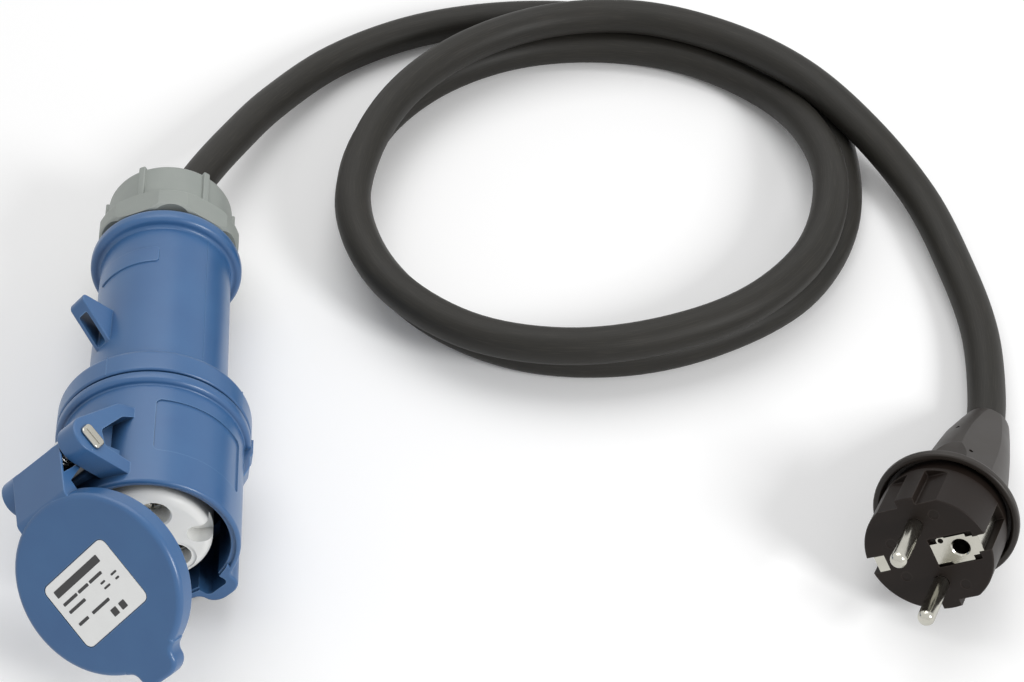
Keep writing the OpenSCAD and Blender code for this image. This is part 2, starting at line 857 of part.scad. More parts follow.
module plug_insert() {
  color("#343030")
    plug_place()
      difference() {
        union() {
          rotate_extrude()
            polygon([[0, 0], [insert_r - edge, 0], [insert_r, edge], [insert_r, insert_back],
              [0, insert_back]]);
          translate([0, 0, insert_back])
            cylinder(r = stem_r, h = stem_l);
        }
        for (s = [-1, 1]) {
          prong_spot(s)
            translate([0, 0, -cut])
              cylinder(r = shank_r + fit, h = stem_end + 2 * cut);
          for (x = [-1, 1])
            translate([x * (guide_x + guide_w / 2), s * insert_r, 0])
              cube([guide_w, 2 * guide_depth, 2 * insert_l - 2], center = true);
        }
        translate([-clip_out, -clip_w / 2 - fit, bridge_z - fit])
          cube([2 * clip_out, clip_w + 2 * fit, clip_t + 2 * fit]);
        for (x = [-1, 1])
          translate([x * clip_mid, 0, 0])
            cube([clip_room, clip_w + 2 * fit, 2 * clip_l + 2 * fit], center = true);
        for (x = [-1, 1])
          translate([x * (clip_in + clip_out) / 2, 0, 0])
            cube([clip_out - clip_in + 2 * fit, clip_w + 2 * fit, 2 * clip_t + 2 * fit], center = true);
        translate([plate_in - fit, -plate_w / 2 - fit, -cut])
          cube([plate_out - plate_in + 2 * fit, plate_w + 2 * fit, clip_t + fit + cut]);
        translate([earth_hole_x, 0, -cut])
          cylinder(r = earth_tube_r + fit, h = earth_tube_l + fit + cut);
        translate([0, 0, bridge_z])
          cylinder(r = core_r + fit, h = stem_end);
        translate([earth_screw_x, 0, bridge_z])
          cylinder(r = plug_screw_r + fit, h = stem_end);
      }
}

// Round pin with a terminal block at its back
module prong() {
  difference() {
    union() {
      rotate_extrude()
        polygon(concat(
          [[0, -prong_l]],
          corner([prong_r - prong_tip, -prong_l + prong_tip], prong_tip, -90),
          [[prong_r, -prong_root], [shank_r, -prong_root], [shank_r, block_z], [0, block_z]]));
      translate([0, 0, block_z])
        cylinder(r = block_r, h = block_l);
    }
    translate([0, 0, block_end - wire_way / 2])
      cylinder(r = core_r + fit, h = wire_way);
  }
}

module plug_line_pin() {
  color("#d7d8da")
    plug_place()
      prong_spot(1)
        difference() {
          prong();
          prong_screw(1, fit);
        }
}

module plug_neutral_pin() {
  color("#d7d8da")
    plug_place()
      prong_spot(-1)
        difference() {
          prong();
          prong_screw(-1, fit);
        }
}

// Clamping screw across a terminal block, from its inner side
module prong_screw(side, gap) {
  translate([0, 0, block_end - wire_way / 4])
    rotate([side * 90, 0, 0])
      translate([0, 0, core_r])
        cylinder(r = plug_screw_r + gap, h = block_r);
}

module plug_terminal_screws() {
  color("#b9babd")
    plug_place() {
      for (s = [-1, 1])
        prong_spot(s)
          prong_screw(s, 0);
      translate([earth_screw_x, 0, bridge_z + clip_t])
        cylinder(r = plug_screw_r, h = earth_screw_l);
    }
}

module earth_strip() {
  color("#c9cacc")
    plug_place()
      difference() {
        union() {
          for (x = [-1, 1]) {
            translate([x * (clip_out - clip_t / 2), 0, clip_l / 2])
              cube([clip_t, clip_w, clip_l], center = true);
            translate([x * (clip_in + clip_out) / 2, 0, clip_t / 2])
              cube([clip_out - clip_in, clip_w, clip_t], center = true);
          }
          translate([-clip_out, -clip_w / 2, bridge_z])
            cube([2 * clip_out, clip_w, clip_t]);
          translate([plate_in, -plate_w / 2, 0])
            cube([plate_out - plate_in, plate_w, clip_t]);
          translate([earth_hole_x, 0, 0])
            cylinder(r = earth_tube_r, h = earth_tube_l);
        }
        translate([earth_hole_x, 0, -cut])
          cylinder(r = earth_hole_r, h = earth_tube_l + 2 * cut);
      }
}

// Core from a point in the plug, straight for a stretch, to the end of the cable's sheath
module plug_core(side, start_z, straight, angle) {
  a = [0, side * prong_pitch / 2, 0];
  b = bundle_r * [cos(angle), sin(angle), 0];
  z = [0, 0, 1];
  bend = swerve(a + z * (start_z + straight + core_lead / 2), b + z * (throat_z - core_lead / 2));
  line = concat([a + z * start_z], bend, [b + z * throat_z]);
  tube(line, core_r, core_sides, [1, 0, 0]);
}

module plug_line_core() {
  color("#6b4a33")
    plug_place()
      plug_core(1, block_end - wire_way / 2, wire_way / 2, 120);
}

module plug_neutral_core() {
  color("#3b62a8")
    plug_place()
      plug_core(-1, block_end - wire_way / 2, wire_way / 2, 240);
}

module plug_earth_core() {
  color("#7d9a3c")
    plug_place()
      plug_core(0, bridge_z + clip_t, stem_end - bridge_z, 0);
}

front_housing();
rear_housing();
gland_nut();
contact_carrier();
lid();
lid_label();
hinge_pin();
lid_spring();
lid_seal();
housing_seal();
line_contact();
neutral_contact();
earth_contact();
terminal_screws();
line_core();
neutral_core();
earth_core();
gland_seal();
clamp_cage();
cable_sheath();
plug_hood();
plug_insert();
plug_line_pin();
plug_neutral_pin();
earth_strip();
plug_terminal_screws();
plug_line_core();
plug_neutral_core();
plug_earth_core();
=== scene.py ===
from math import cos, hypot, pi, radians, sin

import bmesh
import bpy
from mathutils import Matrix, Vector


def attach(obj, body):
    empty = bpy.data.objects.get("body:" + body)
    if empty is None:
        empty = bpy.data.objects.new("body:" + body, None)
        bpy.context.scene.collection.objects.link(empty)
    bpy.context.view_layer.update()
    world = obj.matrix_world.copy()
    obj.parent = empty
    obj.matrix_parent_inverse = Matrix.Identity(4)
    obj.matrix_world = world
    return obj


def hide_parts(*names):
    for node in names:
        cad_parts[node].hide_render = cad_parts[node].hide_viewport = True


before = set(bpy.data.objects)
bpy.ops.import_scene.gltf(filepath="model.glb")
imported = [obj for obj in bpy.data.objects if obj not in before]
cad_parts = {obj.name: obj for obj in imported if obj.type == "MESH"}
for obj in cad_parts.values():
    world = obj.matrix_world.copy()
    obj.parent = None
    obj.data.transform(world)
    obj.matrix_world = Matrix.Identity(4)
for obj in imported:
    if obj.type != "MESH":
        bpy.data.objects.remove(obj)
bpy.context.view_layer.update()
scene = bpy.context.scene
mm = 0.001


def turn(degrees, axis):
    return Matrix.Rotation(radians(degrees), 4, axis)


def shift(x, y, z):
    return Matrix.Translation((x, y, z))


# where the connector, its lid and the plug lie, in mm; z runs back from each front face
hinge = {"x": 34, "z": 8, "ajar": 37.35}    # the lid's axis on the connector, and how far it stands open
connectorPlace = shift(5, -50, 31.1138) @ turn(-94.04275, "X") @ turn(-133, "Z")
lidPlace = (connectorPlace @ shift(hinge["x"], 0, hinge["z"]) @ turn(-hinge["ajar"], "Y")
            @ shift(-hinge["x"], 0, -hinge["z"]))
plugPlace = shift(219.5, -61, 26.2187) @ turn(-26.6, "Z") @ turn(-105.7356, "X") @ turn(-35, "Z")


# camera, at the photograph's angle
view = {"from": (82.96, -459.83, 557.53), "at": (110.63, 48.52, 0), "lens": 85, "sensor": 36,
        "clip": (0.02, 20)}
eye = Vector(view["from"]) * mm
look = Vector(view["at"]) * mm - eye
camera = bpy.data.objects.new("camera", bpy.data.cameras.new("camera"))
camera.data.lens = view["lens"]
camera.data.sensor_fit = "HORIZONTAL"
camera.data.sensor_width = view["sensor"]
camera.data.clip_start, camera.data.clip_end = view["clip"]
camera.location = eye
camera.rotation_euler = look.to_track_quat("-Z", "Y").to_euler()
scene.collection.objects.link(camera)
scene.camera = camera
scene.view_settings.view_transform = "Standard"
print("camera in place")


# materials

def colour(hexText):    # sRGB hex to linear
    parts = [int(hexText[i:i + 2], 16) / 255 for i in (0, 2, 4)]
    return [c / 12.92 if c <= 0.04045 else ((c + 0.055) / 1.055) ** 2.4 for c in parts] + [1]


def add(tree, kind, inputs={}, **settings):
    made = tree.nodes.new(kind)
    for key, value in settings.items():
        setattr(made, key, value)
    for key, value in inputs.items():
        if isinstance(value, bpy.types.NodeSocket):
            tree.links.new(value, made.inputs[key])
        else:
            made.inputs[key].default_value = value
    return made


def startMaterial(name):
    material = bpy.data.materials.new(name)
    material.use_nodes = True
    tree = material.node_tree
    tree.nodes.clear()
    return material, tree, add(tree, "ShaderNodeTexCoord").outputs["Object"]    # where on the piece, in metres


def finishMaterial(tree, inputs):
    shader = add(tree, "ShaderNodeBsdfPrincipled", inputs)
    add(tree, "ShaderNodeOutputMaterial", {"Surface": shader.outputs["BSDF"]})


def perMm(size):    # texture scale for a feature of that many mm, in object metres
    return 1 / (size * mm)


# moulded plastic: an even colour with a faint flow mottle, fine spark-eroded grain that softens the highlights,
# paler rubbed edges, and painted shade darkening the hollows
moulding = {"edge": 0.5, "flat": 0.995, "sharp": 0.88, "grainDepth": 0.02, "hollow": 25,
            "shut": 0.05}    # lengths in mm


def mouldedPlastic(name, look):
    material, tree, where = startMaterial(name)
    mottle = add(tree, "ShaderNodeTexNoise", {"Vector": where, "Scale": perMm(look["mottle"]), "Detail": 3.0})
    grain = add(tree, "ShaderNodeTexNoise", {"Vector": where, "Scale": perMm(look["grain"]), "Detail": 2.0})
    tone = add(tree, "ShaderNodeMix", {"Factor": mottle.outputs["Fac"], "A": colour(look["dark"]),
                                       "B": colour(look["light"])}, data_type="RGBA")
    eased = add(tree, "ShaderNodeBevel", {"Radius": moulding["edge"] * mm}, samples=4)
    turnAway = add(tree, "ShaderNodeVectorMath", {0: eased.outputs["Normal"],
                                                  1: add(tree, "ShaderNodeNewGeometry").outputs["Normal"]},
                   operation="DOT_PRODUCT")    # below 1 near an edge
    edges = add(tree, "ShaderNodeMapRange", {"Value": turnAway.outputs["Value"], "From Min": moulding["flat"],
                                             "From Max": moulding["sharp"], "To Max": look["wear"]})
    worn = add(tree, "ShaderNodeMix", {"Factor": edges.outputs["Result"], "A": tone.outputs["Result"],
                                       "B": colour(look["rubbed"])}, data_type="RGBA")
    rough = add(tree, "ShaderNodeMapRange", {"Value": mottle.outputs["Fac"], "To Min": look["rough"][0],
                                             "To Max": look["rough"][1]})
    bump = add(tree, "ShaderNodeBump", {"Height": grain.outputs["Fac"], "Strength": look["relief"],
                                        "Distance": moulding["grainDepth"] * mm})
    # painted shade: ambient occlusion mixes the colour towards a dark tone in hollows and crevices
    hollow = add(tree, "ShaderNodeAmbientOcclusion", {"Distance": moulding["hollow"] * mm}, samples=8)
    unshaded = add(tree, "ShaderNodeMapRange", {"Value": hollow.outputs["AO"], "From Min": moulding["shut"],
                                            "From Max": look["open"]})
    shadedTone = add(tree, "ShaderNodeMix", {"Factor": unshaded.outputs["Result"], "A": colour(look["paintedShade"]),
                                         "B": worn.outputs["Result"]}, data_type="RGBA")
    finishMaterial(tree, {"Base Color": shadedTone.outputs["Result"], "Roughness": rough.outputs["Result"],
                          "Normal": bump.outputs["Normal"], "IOR": look["ior"],
                          "Specular IOR Level": look.get("shine", 0.5)})
    return material


# rubber: dull and near black, with a soft grain, pale dusty patches and a little bloom
def vulcanisedRubber(name, look):
    material, tree, where = startMaterial(name)
    dust = add(tree, "ShaderNodeTexNoise", {"Vector": where, "Scale": perMm(look["dust"]), "Detail": 5.0})
    grain = add(tree, "ShaderNodeTexNoise", {"Vector": where, "Scale": perMm(look["grain"]), "Detail": 3.0})
    tone = add(tree, "ShaderNodeMix", {"Factor": dust.outputs["Fac"], "A": colour(look["dark"]),
                                       "B": colour(look["light"])}, data_type="RGBA")
    rough = add(tree, "ShaderNodeMapRange", {"Value": dust.outputs["Fac"], "To Min": look["rough"][0],
                                             "To Max": look["rough"][1]})
    bump = add(tree, "ShaderNodeBump", {"Height": grain.outputs["Fac"], "Strength": look["relief"],
                                        "Distance": 0.03 * mm})
    finishMaterial(tree, {"Base Color": tone.outputs["Result"], "Roughness": rough.outputs["Result"],
                          "Normal": bump.outputs["Normal"], "IOR": 1.52, "Specular IOR Level": look["shine"]})
    return material


# plated or drawn metal: mirror-like, clouded by handling, with fine scratches
def brightMetal(name, look):
    material, tree, where = startMaterial(name)
    cloud = add(tree, "ShaderNodeTexNoise", {"Vector": where, "Scale": perMm(look["cloud"]), "Detail": 4.0})
    stretch = add(tree, "ShaderNodeMapping", {"Vector": where, "Scale": (1, 1, 0.12)})
    scratch = add(tree, "ShaderNodeTexNoise", {"Vector": stretch.outputs["Vector"],
                                               "Scale": perMm(look["scratch"]), "Detail": 2.0})
    tone = add(tree, "ShaderNodeMix", {"Factor": cloud.outputs["Fac"], "A": colour(look["dark"]),
                                       "B": colour(look["light"])}, data_type="RGBA")
    rough = add(tree, "ShaderNodeMapRange", {"Value": cloud.outputs["Fac"], "To Min": look["rough"][0],
                                             "To Max": look["rough"][1]})
    bump = add(tree, "ShaderNodeBump", {"Height": scratch.outputs["Fac"], "Strength": look["relief"],
                                        "Distance": 0.01 * mm})
    finishMaterial(tree, {"Base Color": tone.outputs["Result"], "Metallic": 1.0,
                          "Roughness": rough.outputs["Result"], "Normal": bump.outputs["Normal"]})
    return material


# in each look below, the dark tone mixed into hollows is painted shade
bluePolyamide = mouldedPlastic("blue polyamide, injection moulded", {
    "dark": "335b8b", "light": "3d6896", "rubbed": "6f95be", "wear": 0.5, "mottle": 14, "grain": 0.7,
    "relief": 0.12, "rough": (0.26, 0.38), "ior": 1.53, "paintedShade": "0c1320", "open": 0.7})
greyPolyamide = mouldedPlastic("grey polyamide, injection moulded", {
    "dark": "898f8b", "light": "979c97", "rubbed": "aeb2ac", "wear": 0.4, "mottle": 9, "grain": 0.6,
    "relief": 0.18, "rough": (0.48, 0.6), "ior": 1.53, "paintedShade": "474a48", "open": 0.3})
paleThermoset = mouldedPlastic("light grey thermoset, compression moulded", {
    "dark": "ebebe7", "light": "f3f3f0", "rubbed": "f6f6f3", "wear": 0.3, "mottle": 6, "grain": 0.5,
    "relief": 0.1, "rough": (0.36, 0.48), "ior": 1.55, "paintedShade": "6b6a66", "open": 0.2})
blackPolyamide = mouldedPlastic("black polyamide, injection moulded", {
    "dark": "18120f", "light": "201915", "rubbed": "4a433e", "wear": 0.45, "mottle": 8, "grain": 0.6,
    "relief": 0.2, "rough": (0.38, 0.52), "ior": 1.53, "shine": 0.17, "paintedShade": "0d0b0a",
    "open": 0.3})
cagePolyamide = mouldedPlastic("natural polyamide, injection moulded", {
    "dark": "c0c0ba", "light": "cecec9", "rubbed": "d8d8d4", "wear": 0.2, "mottle": 7, "grain": 0.6,
    "relief": 0.1, "rough": (0.42, 0.52), "ior": 1.53, "paintedShade": "8a8a85", "open": 0.2})
hoodRubber = vulcanisedRubber("black thermoplastic rubber, moulded", {
    "dark": "1d1814", "light": "28221d", "dust": 9, "grain": 0.45, "relief": 0.35, "rough": (0.36, 0.5),
    "shine": 0.36})
sealRubber = vulcanisedRubber("black nitrile rubber, moulded", {
    "dark": "242322", "light": "2f2d2c", "dust": 5, "grain": 0.4, "relief": 0.25, "rough": (0.5, 0.62),
    "shine": 0.5})
nickelPlate = brightMetal("brass, nickel plated", {
    "dark": "aeaca2", "light": "c4c2b9", "cloud": 4, "scratch": 0.25, "relief": 0.1, "rough": (0.12, 0.24)})
springSteel = brightMetal("spring steel wire, drawn and zinc plated", {
    "dark": "b0b1b2", "light": "cfd0d0", "cloud": 2, "scratch": 0.2, "relief": 0.12, "rough": (0.2, 0.34)})
contactBrass = brightMetal("brass, turned and tin plated", {
    "dark": "b9b6ad", "light": "d2cfc6", "cloud": 3, "scratch": 0.2, "relief": 0.1, "rough": (0.22, 0.36)})
screwSteel = brightMetal("steel, zinc plated", {
    "dark": "aeb0b2", "light": "c8cacb", "cloud": 2, "scratch": 0.2, "relief": 0.12, "rough": (0.24, 0.38)})


# cross-linked core insulation: smooth and a little waxy; the earth core has a yellow lengthwise band
def coreInsulation(name, base, band=None):
    material, tree, where = startMaterial(name)
    smear = add(tree, "ShaderNodeTexNoise", {"Vector": where, "Scale": perMm(3), "Detail": 3.0})
    factor = smear.outputs["Fac"]
    if band:
        factor = add(tree, "ShaderNodeTexWave", {"Vector": where, "Scale": perMm(20),
                                                 "Distortion": 1.0}).outputs["Fac"]
    tone = add(tree, "ShaderNodeMix", {"Factor": factor, "A": colour(base), "B": colour(band or base)},
               data_type="RGBA")
    rough = add(tree, "ShaderNodeMapRange", {"Value": smear.outputs["Fac"], "To Min": 0.34, "To Max": 0.5})
    finishMaterial(tree, {"Base Color": tone.outputs["Result"], "Roughness": rough.outputs["Result"],
                          "IOR": 1.5})
    return material


# polychloroprene sheath: extruded, so its fine lines run along the cable; handling leaves it greyish
# and patchy
def sheathRubber(look):
    material, tree, where = startMaterial("black polychloroprene rubber, extruded")
    along = add(tree, "ShaderNodeUVMap", uv_map="alongCable").outputs["UV"]    # metres along, metres round
    drawn = add(tree, "ShaderNodeMapping", {"Vector": along, "Scale": (0.04, 1, 1)})
    lines = add(tree, "ShaderNodeTexNoise", {"Vector": drawn.outputs["Vector"], "Scale": perMm(look["line"]),
                                             "Detail": 3.0})
    pits = add(tree, "ShaderNodeTexNoise", {"Vector": where, "Scale": perMm(look["pit"]), "Detail": 2.0})
    patch = add(tree, "ShaderNodeTexNoise", {"Vector": where, "Scale": perMm(look["patch"]), "Detail": 4.0})
    tone = add(tree, "ShaderNodeMix", {"Factor": patch.outputs["Fac"], "A": colour(look["dark"]),
                                       "B": colour(look["light"])}, data_type="RGBA")
    streak = add(tree, "ShaderNodeMapRange", {"Value": lines.outputs["Fac"], "From Min": 0.5, "From Max": 0.8,
                                              "To Max": look["streak"]})
    dusty = add(tree, "ShaderNodeMix", {"Factor": streak.outputs["Result"], "A": tone.outputs["Result"],
                                        "B": colour(look["dustTone"])}, data_type="RGBA")
    rough = add(tree, "ShaderNodeMapRange", {"Value": patch.outputs["Fac"], "To Min": look["rough"][0],
                                             "To Max": look["rough"][1]})
    fine = add(tree, "ShaderNodeBump", {"Height": lines.outputs["Fac"], "Strength": 0.25,
                                        "Distance": 0.04 * mm})
    bump = add(tree, "ShaderNodeBump", {"Height": pits.outputs["Fac"], "Strength": 0.3, "Distance": 0.03 * mm,
                                        "Normal": fine.outputs["Normal"]})
    finishMaterial(tree, {"Base Color": dusty.outputs["Result"], "Roughness": rough.outputs["Result"],
                          "Normal": bump.outputs["Normal"], "IOR": 1.52, "Specular IOR Level": 0.25})
    return material


cableSheath = sheathRubber({"dark": "1f1e1b", "light": "292723", "dustTone": "45413b", "streak": 0.35,
                            "line": 0.35, "pit": 0.5, "patch": 26, "rough": (0.46, 0.6)})


# polyester label film: white, glossy under a clear laminate, with faint handling haze
def labelFilm(name, base, haze):
    material, tree, where = startMaterial(name)
    smear = add(tree, "ShaderNodeTexNoise", {"Vector": where, "Scale": perMm(5), "Detail": 4.0})
    tone = add(tree, "ShaderNodeMix", {"Factor": smear.outputs["Fac"], "A": colour(base), "B": colour(haze)},
               data_type="RGBA")
    rough = add(tree, "ShaderNodeMapRange", {"Value": smear.outputs["Fac"], "To Min": 0.24, "To Max": 0.4})
    finishMaterial(tree, {"Base Color": tone.outputs["Result"], "Roughness": rough.outputs["Result"],
                          "IOR": 1.57})
    return material


whiteFilm = labelFilm("white polyester film, laminated", "f4f5f4", "ebeceb")
printInk = labelFilm("black thermal ink on film, printed", "2b2b2c", "3a3a3b")
brownCore = coreInsulation("brown cross-linked rubber, extruded", "6b4a33")
blueCore = coreInsulation("blue cross-linked rubber, extruded", "3b62a8")
greenCore = coreInsulation("green and yellow cross-linked rubber, extruded", "5f8f3a", "d2c23c")
print("materials made")


# floor, world and lamps: plain soft studio light
stageLook = {"floor": "fbfbfb", "fleck": "fafafa", "fleckSize": 60, "lift": 0.06, "ambient": 0.46, "half": 3.0,
             "middle": (0.11, 0.06, -0.0003)}


def whenSeen(tree):    # 1 for rays that come straight from the camera, a mirror or glass
    path = add(tree, "ShaderNodeLightPath")
    shiny = add(tree, "ShaderNodeMath", {0: path.outputs["Is Camera Ray"], 1: path.outputs["Is Glossy Ray"]},
                operation="MAXIMUM")
    return add(tree, "ShaderNodeMath", {0: shiny.outputs[0], 1: path.outputs["Is Transmission Ray"]},
               operation="MAXIMUM").outputs[0]


floorMaterial, tree, where = startMaterial("white paper sweep, matt")
paper = add(tree, "ShaderNodeTexNoise", {"Vector": where,
                                         "Scale": perMm(stageLook["fleckSize"]), "Detail": 2.0})
paperTone = add(tree, "ShaderNodeMix", {"Factor": paper.outputs["Fac"], "A": colour(stageLook["floor"]),
                                        "B": colour(stageLook["fleck"])}, data_type="RGBA")
matt = add(tree, "ShaderNodeBsdfDiffuse", {"Color": paperTone.outputs["Result"]})
liftLevel = add(tree, "ShaderNodeMath", {0: whenSeen(tree), 1: stageLook["lift"]}, operation="MULTIPLY")
glow = add(tree, "ShaderNodeEmission", {"Strength": liftLevel.outputs[0]})
both = add(tree, "ShaderNodeAddShader", {0: matt.outputs[0], 1: glow.outputs[0]})
add(tree, "ShaderNodeOutputMaterial", {"Surface": both.outputs[0]})

bm = bmesh.new()
bmesh.ops.create_grid(bm, x_segments=2, y_segments=2, size=stageLook["half"])
bmesh.ops.translate(bm, verts=bm.verts, vec=stageLook["middle"])
floorMesh = bpy.data.meshes.new("floor")
bm.to_mesh(floorMesh)
bm.free()
floor = bpy.data.objects.new("floor", floorMesh)
floorMesh.materials.append(floorMaterial)
scene.collection.objects.link(floor)

world = bpy.data.worlds.new("studio")
scene.world = world
world.use_nodes = True
tree = world.node_tree
tree.nodes.clear()
skyLevel = add(tree, "ShaderNodeMapRange", {"Value": whenSeen(tree), "To Min": stageLook["ambient"],
                                            "To Max": 1.0})
sky = add(tree, "ShaderNodeBackground", {"Color": (1, 1, 1, 1), "Strength": skyLevel.outputs["Result"]})
add(tree, "ShaderNodeOutputWorld", {"Surface": sky.outputs[0]})

lamps = {    # place and aim in metres, size in metres, power in watts
    "overhead": {"at": (0.02, 0.45, 0.95), "to": (0.11, 0.05, 0.0), "size": 0.9, "power": 4.6},
    "right": {"at": (0.80, -0.62, 0.62), "to": (0.10, 0.0, 0.02), "size": 0.3, "power": 6.2},
}
for name, lamp in lamps.items():
    light = bpy.data.lights.new(name, "AREA")
    light.size = lamp["size"]
    light.energy = lamp["power"]
    holder = bpy.data.objects.new(name, light)
    holder.location = lamp["at"]
    holder.rotation_euler = (Vector(lamp["to"]) - Vector(lamp["at"])).to_track_quat("-Z", "Y").to_euler()
    scene.collection.objects.link(holder)
print("stage lit")


# shaping tools, all in mm
touching = 1e-4    # points this near are one
level = 1e-5
cornerSteps = 6


def flatShape(corners):    # outline in x and y; a third number rounds that corner
    bm = bmesh.new()
    bm.faces.new([bm.verts.new((c[0], c[1], 0)) for c in corners])
    for size in sorted({c[2] for c in corners if len(c) > 2}):
        spots = [c for c in corners if len(c) > 2 and c[2] == size]
        picked = [v for v in bm.verts if any(hypot(v.co.x - c[0], v.co.y - c[1]) < touching for c in spots)]
        bmesh.ops.bevel(bm, geom=picked, offset=size, affect="VERTICES", segments=cornerSteps, profile=0.5,
                        material=-1)
    return bm


def turned(corners, steps=128):    # outline in radius and z, spun round the z axis
    bm = flatShape(corners)
    bmesh.ops.delete(bm, geom=bm.faces[:], context="FACES_ONLY")
    onAxis = [e for e in bm.edges if all(abs(v.co.x) < level for v in e.verts)]
    bmesh.ops.delete(bm, geom=onAxis, context="EDGES")
    bmesh.ops.rotate(bm, verts=bm.verts, cent=(0, 0, 0), matrix=Matrix.Rotation(pi / 2, 3, "X"))
    bmesh.ops.spin(bm, geom=bm.verts[:] + bm.edges[:], cent=(0, 0, 0), axis=(0, 0, 1), angle=2 * pi,
                   steps=steps, use_merge=True)
    bmesh.ops.remove_doubles(bm, verts=bm.verts, dist=touching)
    bmesh.ops.recalc_face_normals(bm, faces=bm.faces)
    return bm


def slab(corners, depth, edge=0.0, segments=3):    # outline in x and y, pulled up to depth, rims rounded
    bm = flatShape(corners)
    pulled = bmesh.ops.extrude_face_region(bm, geom=bm.faces[:])["geom"]
    lifted = [g for g in pulled if isinstance(g, bmesh.types.BMVert)]
    bmesh.ops.translate(bm, verts=lifted, vec=(0, 0, depth))
    bmesh.ops.recalc_face_normals(bm, faces=bm.faces)
    if edge:
        rims = [e for e in bm.edges if abs(e.verts[0].co.z - e.verts[1].co.z) < level]
        bmesh.ops.bevel(bm, geom=rims, offset=edge, affect="EDGES", segments=segments, profile=0.5,
                        material=-1)
    return bm


def oblong(x0, y0, x1, y1, corner):    # outline of a rectangle with round corners
    return [(x0, y0, corner), (x1, y0, corner), (x1, y1, corner), (x0, y1, corner)]


def cylinder(radius, low, high, steps, taper=0):    # solid round bar along z, wider by taper at its high end
    return turned([(0, low), (radius, low), (radius + taper, high), (0, high)], steps)


def block(corner, opposite, edge=0.0, segments=3):    # box between two opposite corners
    sides = [sorted(pair) for pair in zip(corner, opposite)]
    bm = bmesh.new()
    bmesh.ops.create_cube(bm, size=1)
    bmesh.ops.scale(bm, verts=bm.verts, vec=[high - low for low, high in sides])
    bmesh.ops.translate(bm, verts=bm.verts, vec=[(low + high) / 2 for low, high in sides])
    if edge:
        bmesh.ops.bevel(bm, geom=bm.edges[:], offset=edge, affect="EDGES", segments=segments, profile=0.5,
                        material=-1)
    return bm


def moved(bm, matrix):
    bmesh.ops.transform(bm, matrix=matrix, verts=bm.verts)
    return bm


def standUp(bm):    # a shape drawn in x and y, thick in z, turned so that its y runs along z
    return moved(bm, turn(90, "X"))


# bends a flat shape round the z axis: x goes along the arc, y up and z outwards
def wrapped(bm, radius, stepDegrees=2.25):
    low = min(v.co.x for v in bm.verts)
    high = max(v.co.x for v in bm.verts)
    step = radius * radians(stepDegrees)
    for i in range(1, int((high - low) / step) + 1):
        bmesh.ops.bisect_plane(bm, geom=bm.verts[:] + bm.edges[:] + bm.faces[:],
                               plane_co=(low + i * step, 0, 0), plane_no=(1, 0, 0), dist=touching)
    for v in bm.verts:
        angle, reach = v.co.x / radius, radius + v.co.z
        v.co = (reach * cos(angle), reach * sin(angle), v.co.y)
    bmesh.ops.recalc_face_normals(bm, faces=bm.faces)
    return bm


def hull(points):    # tight skin round a few points
    bm = bmesh.new()
    for p in points:
        bm.verts.new(p)
    skin = bmesh.ops.convex_hull(bm, input=bm.verts[:])
    spare = [g for g in skin["geom_interior"] + skin["geom_unused"] if isinstance(g, bmesh.types.BMVert)]
    bmesh.ops.delete(bm, geom=list(dict.fromkeys(spare)), context="VERTS")    # each once, in a fixed order
    bmesh.ops.dissolve_limit(bm, angle_limit=radians(0.5), verts=bm.verts[:], edges=bm.edges[:])
    bmesh.ops.recalc_face_normals(bm, faces=bm.faces)
    return bm


def soften(bm, width, segments=3, sharper=40, pick=None):    # rounds the sharp edges that pick lets through
    edges = [e for e in bm.edges if e.is_manifold and e.calc_face_angle(0) > radians(sharper)
             and (pick is None or pick((e.verts[0].co + e.verts[1].co) / 2))]
    bmesh.ops.bevel(bm, geom=edges, offset=width, affect="EDGES", segments=segments, profile=0.5, material=-1,
                    clamp_overlap=True)
    return bm


def tempObject(bm):
    mesh = bpy.data.meshes.new("temp")
    bm.to_mesh(mesh)
    bm.free()
    obj = bpy.data.objects.new("temp", mesh)
    scene.collection.objects.link(obj)
    return obj


def shaped(kind, bm, others):    # one Boolean after another
    for other in others:
        target, tool = tempObject(bm), tempObject(other)
        step = target.modifiers.new(kind, "BOOLEAN")
        step.operation, step.object, step.solver = kind, tool, "EXACT"
        bm = bmesh.new()
        bm.from_object(target, bpy.context.evaluated_depsgraph_get())
        for obj in (target, tool):
            mesh = obj.data
            bpy.data.objects.remove(obj)
            bpy.data.meshes.remove(mesh)
        bmesh.ops.remove_doubles(bm, verts=bm.verts, dist=touching)
        if not bm.faces:
            raise RuntimeError("a shaping step left nothing")
    return bm


def joined(bm, *others):
    return shaped("UNION", bm, others)


def cut(bm, *others):
    return shaped("DIFFERENCE", bm, others)


shading = {"clearOfAxis": 3, "lean": 0.03, "facet": 0.05, "wideFlat": 4e-5}    # mm, shares of the reach, m2


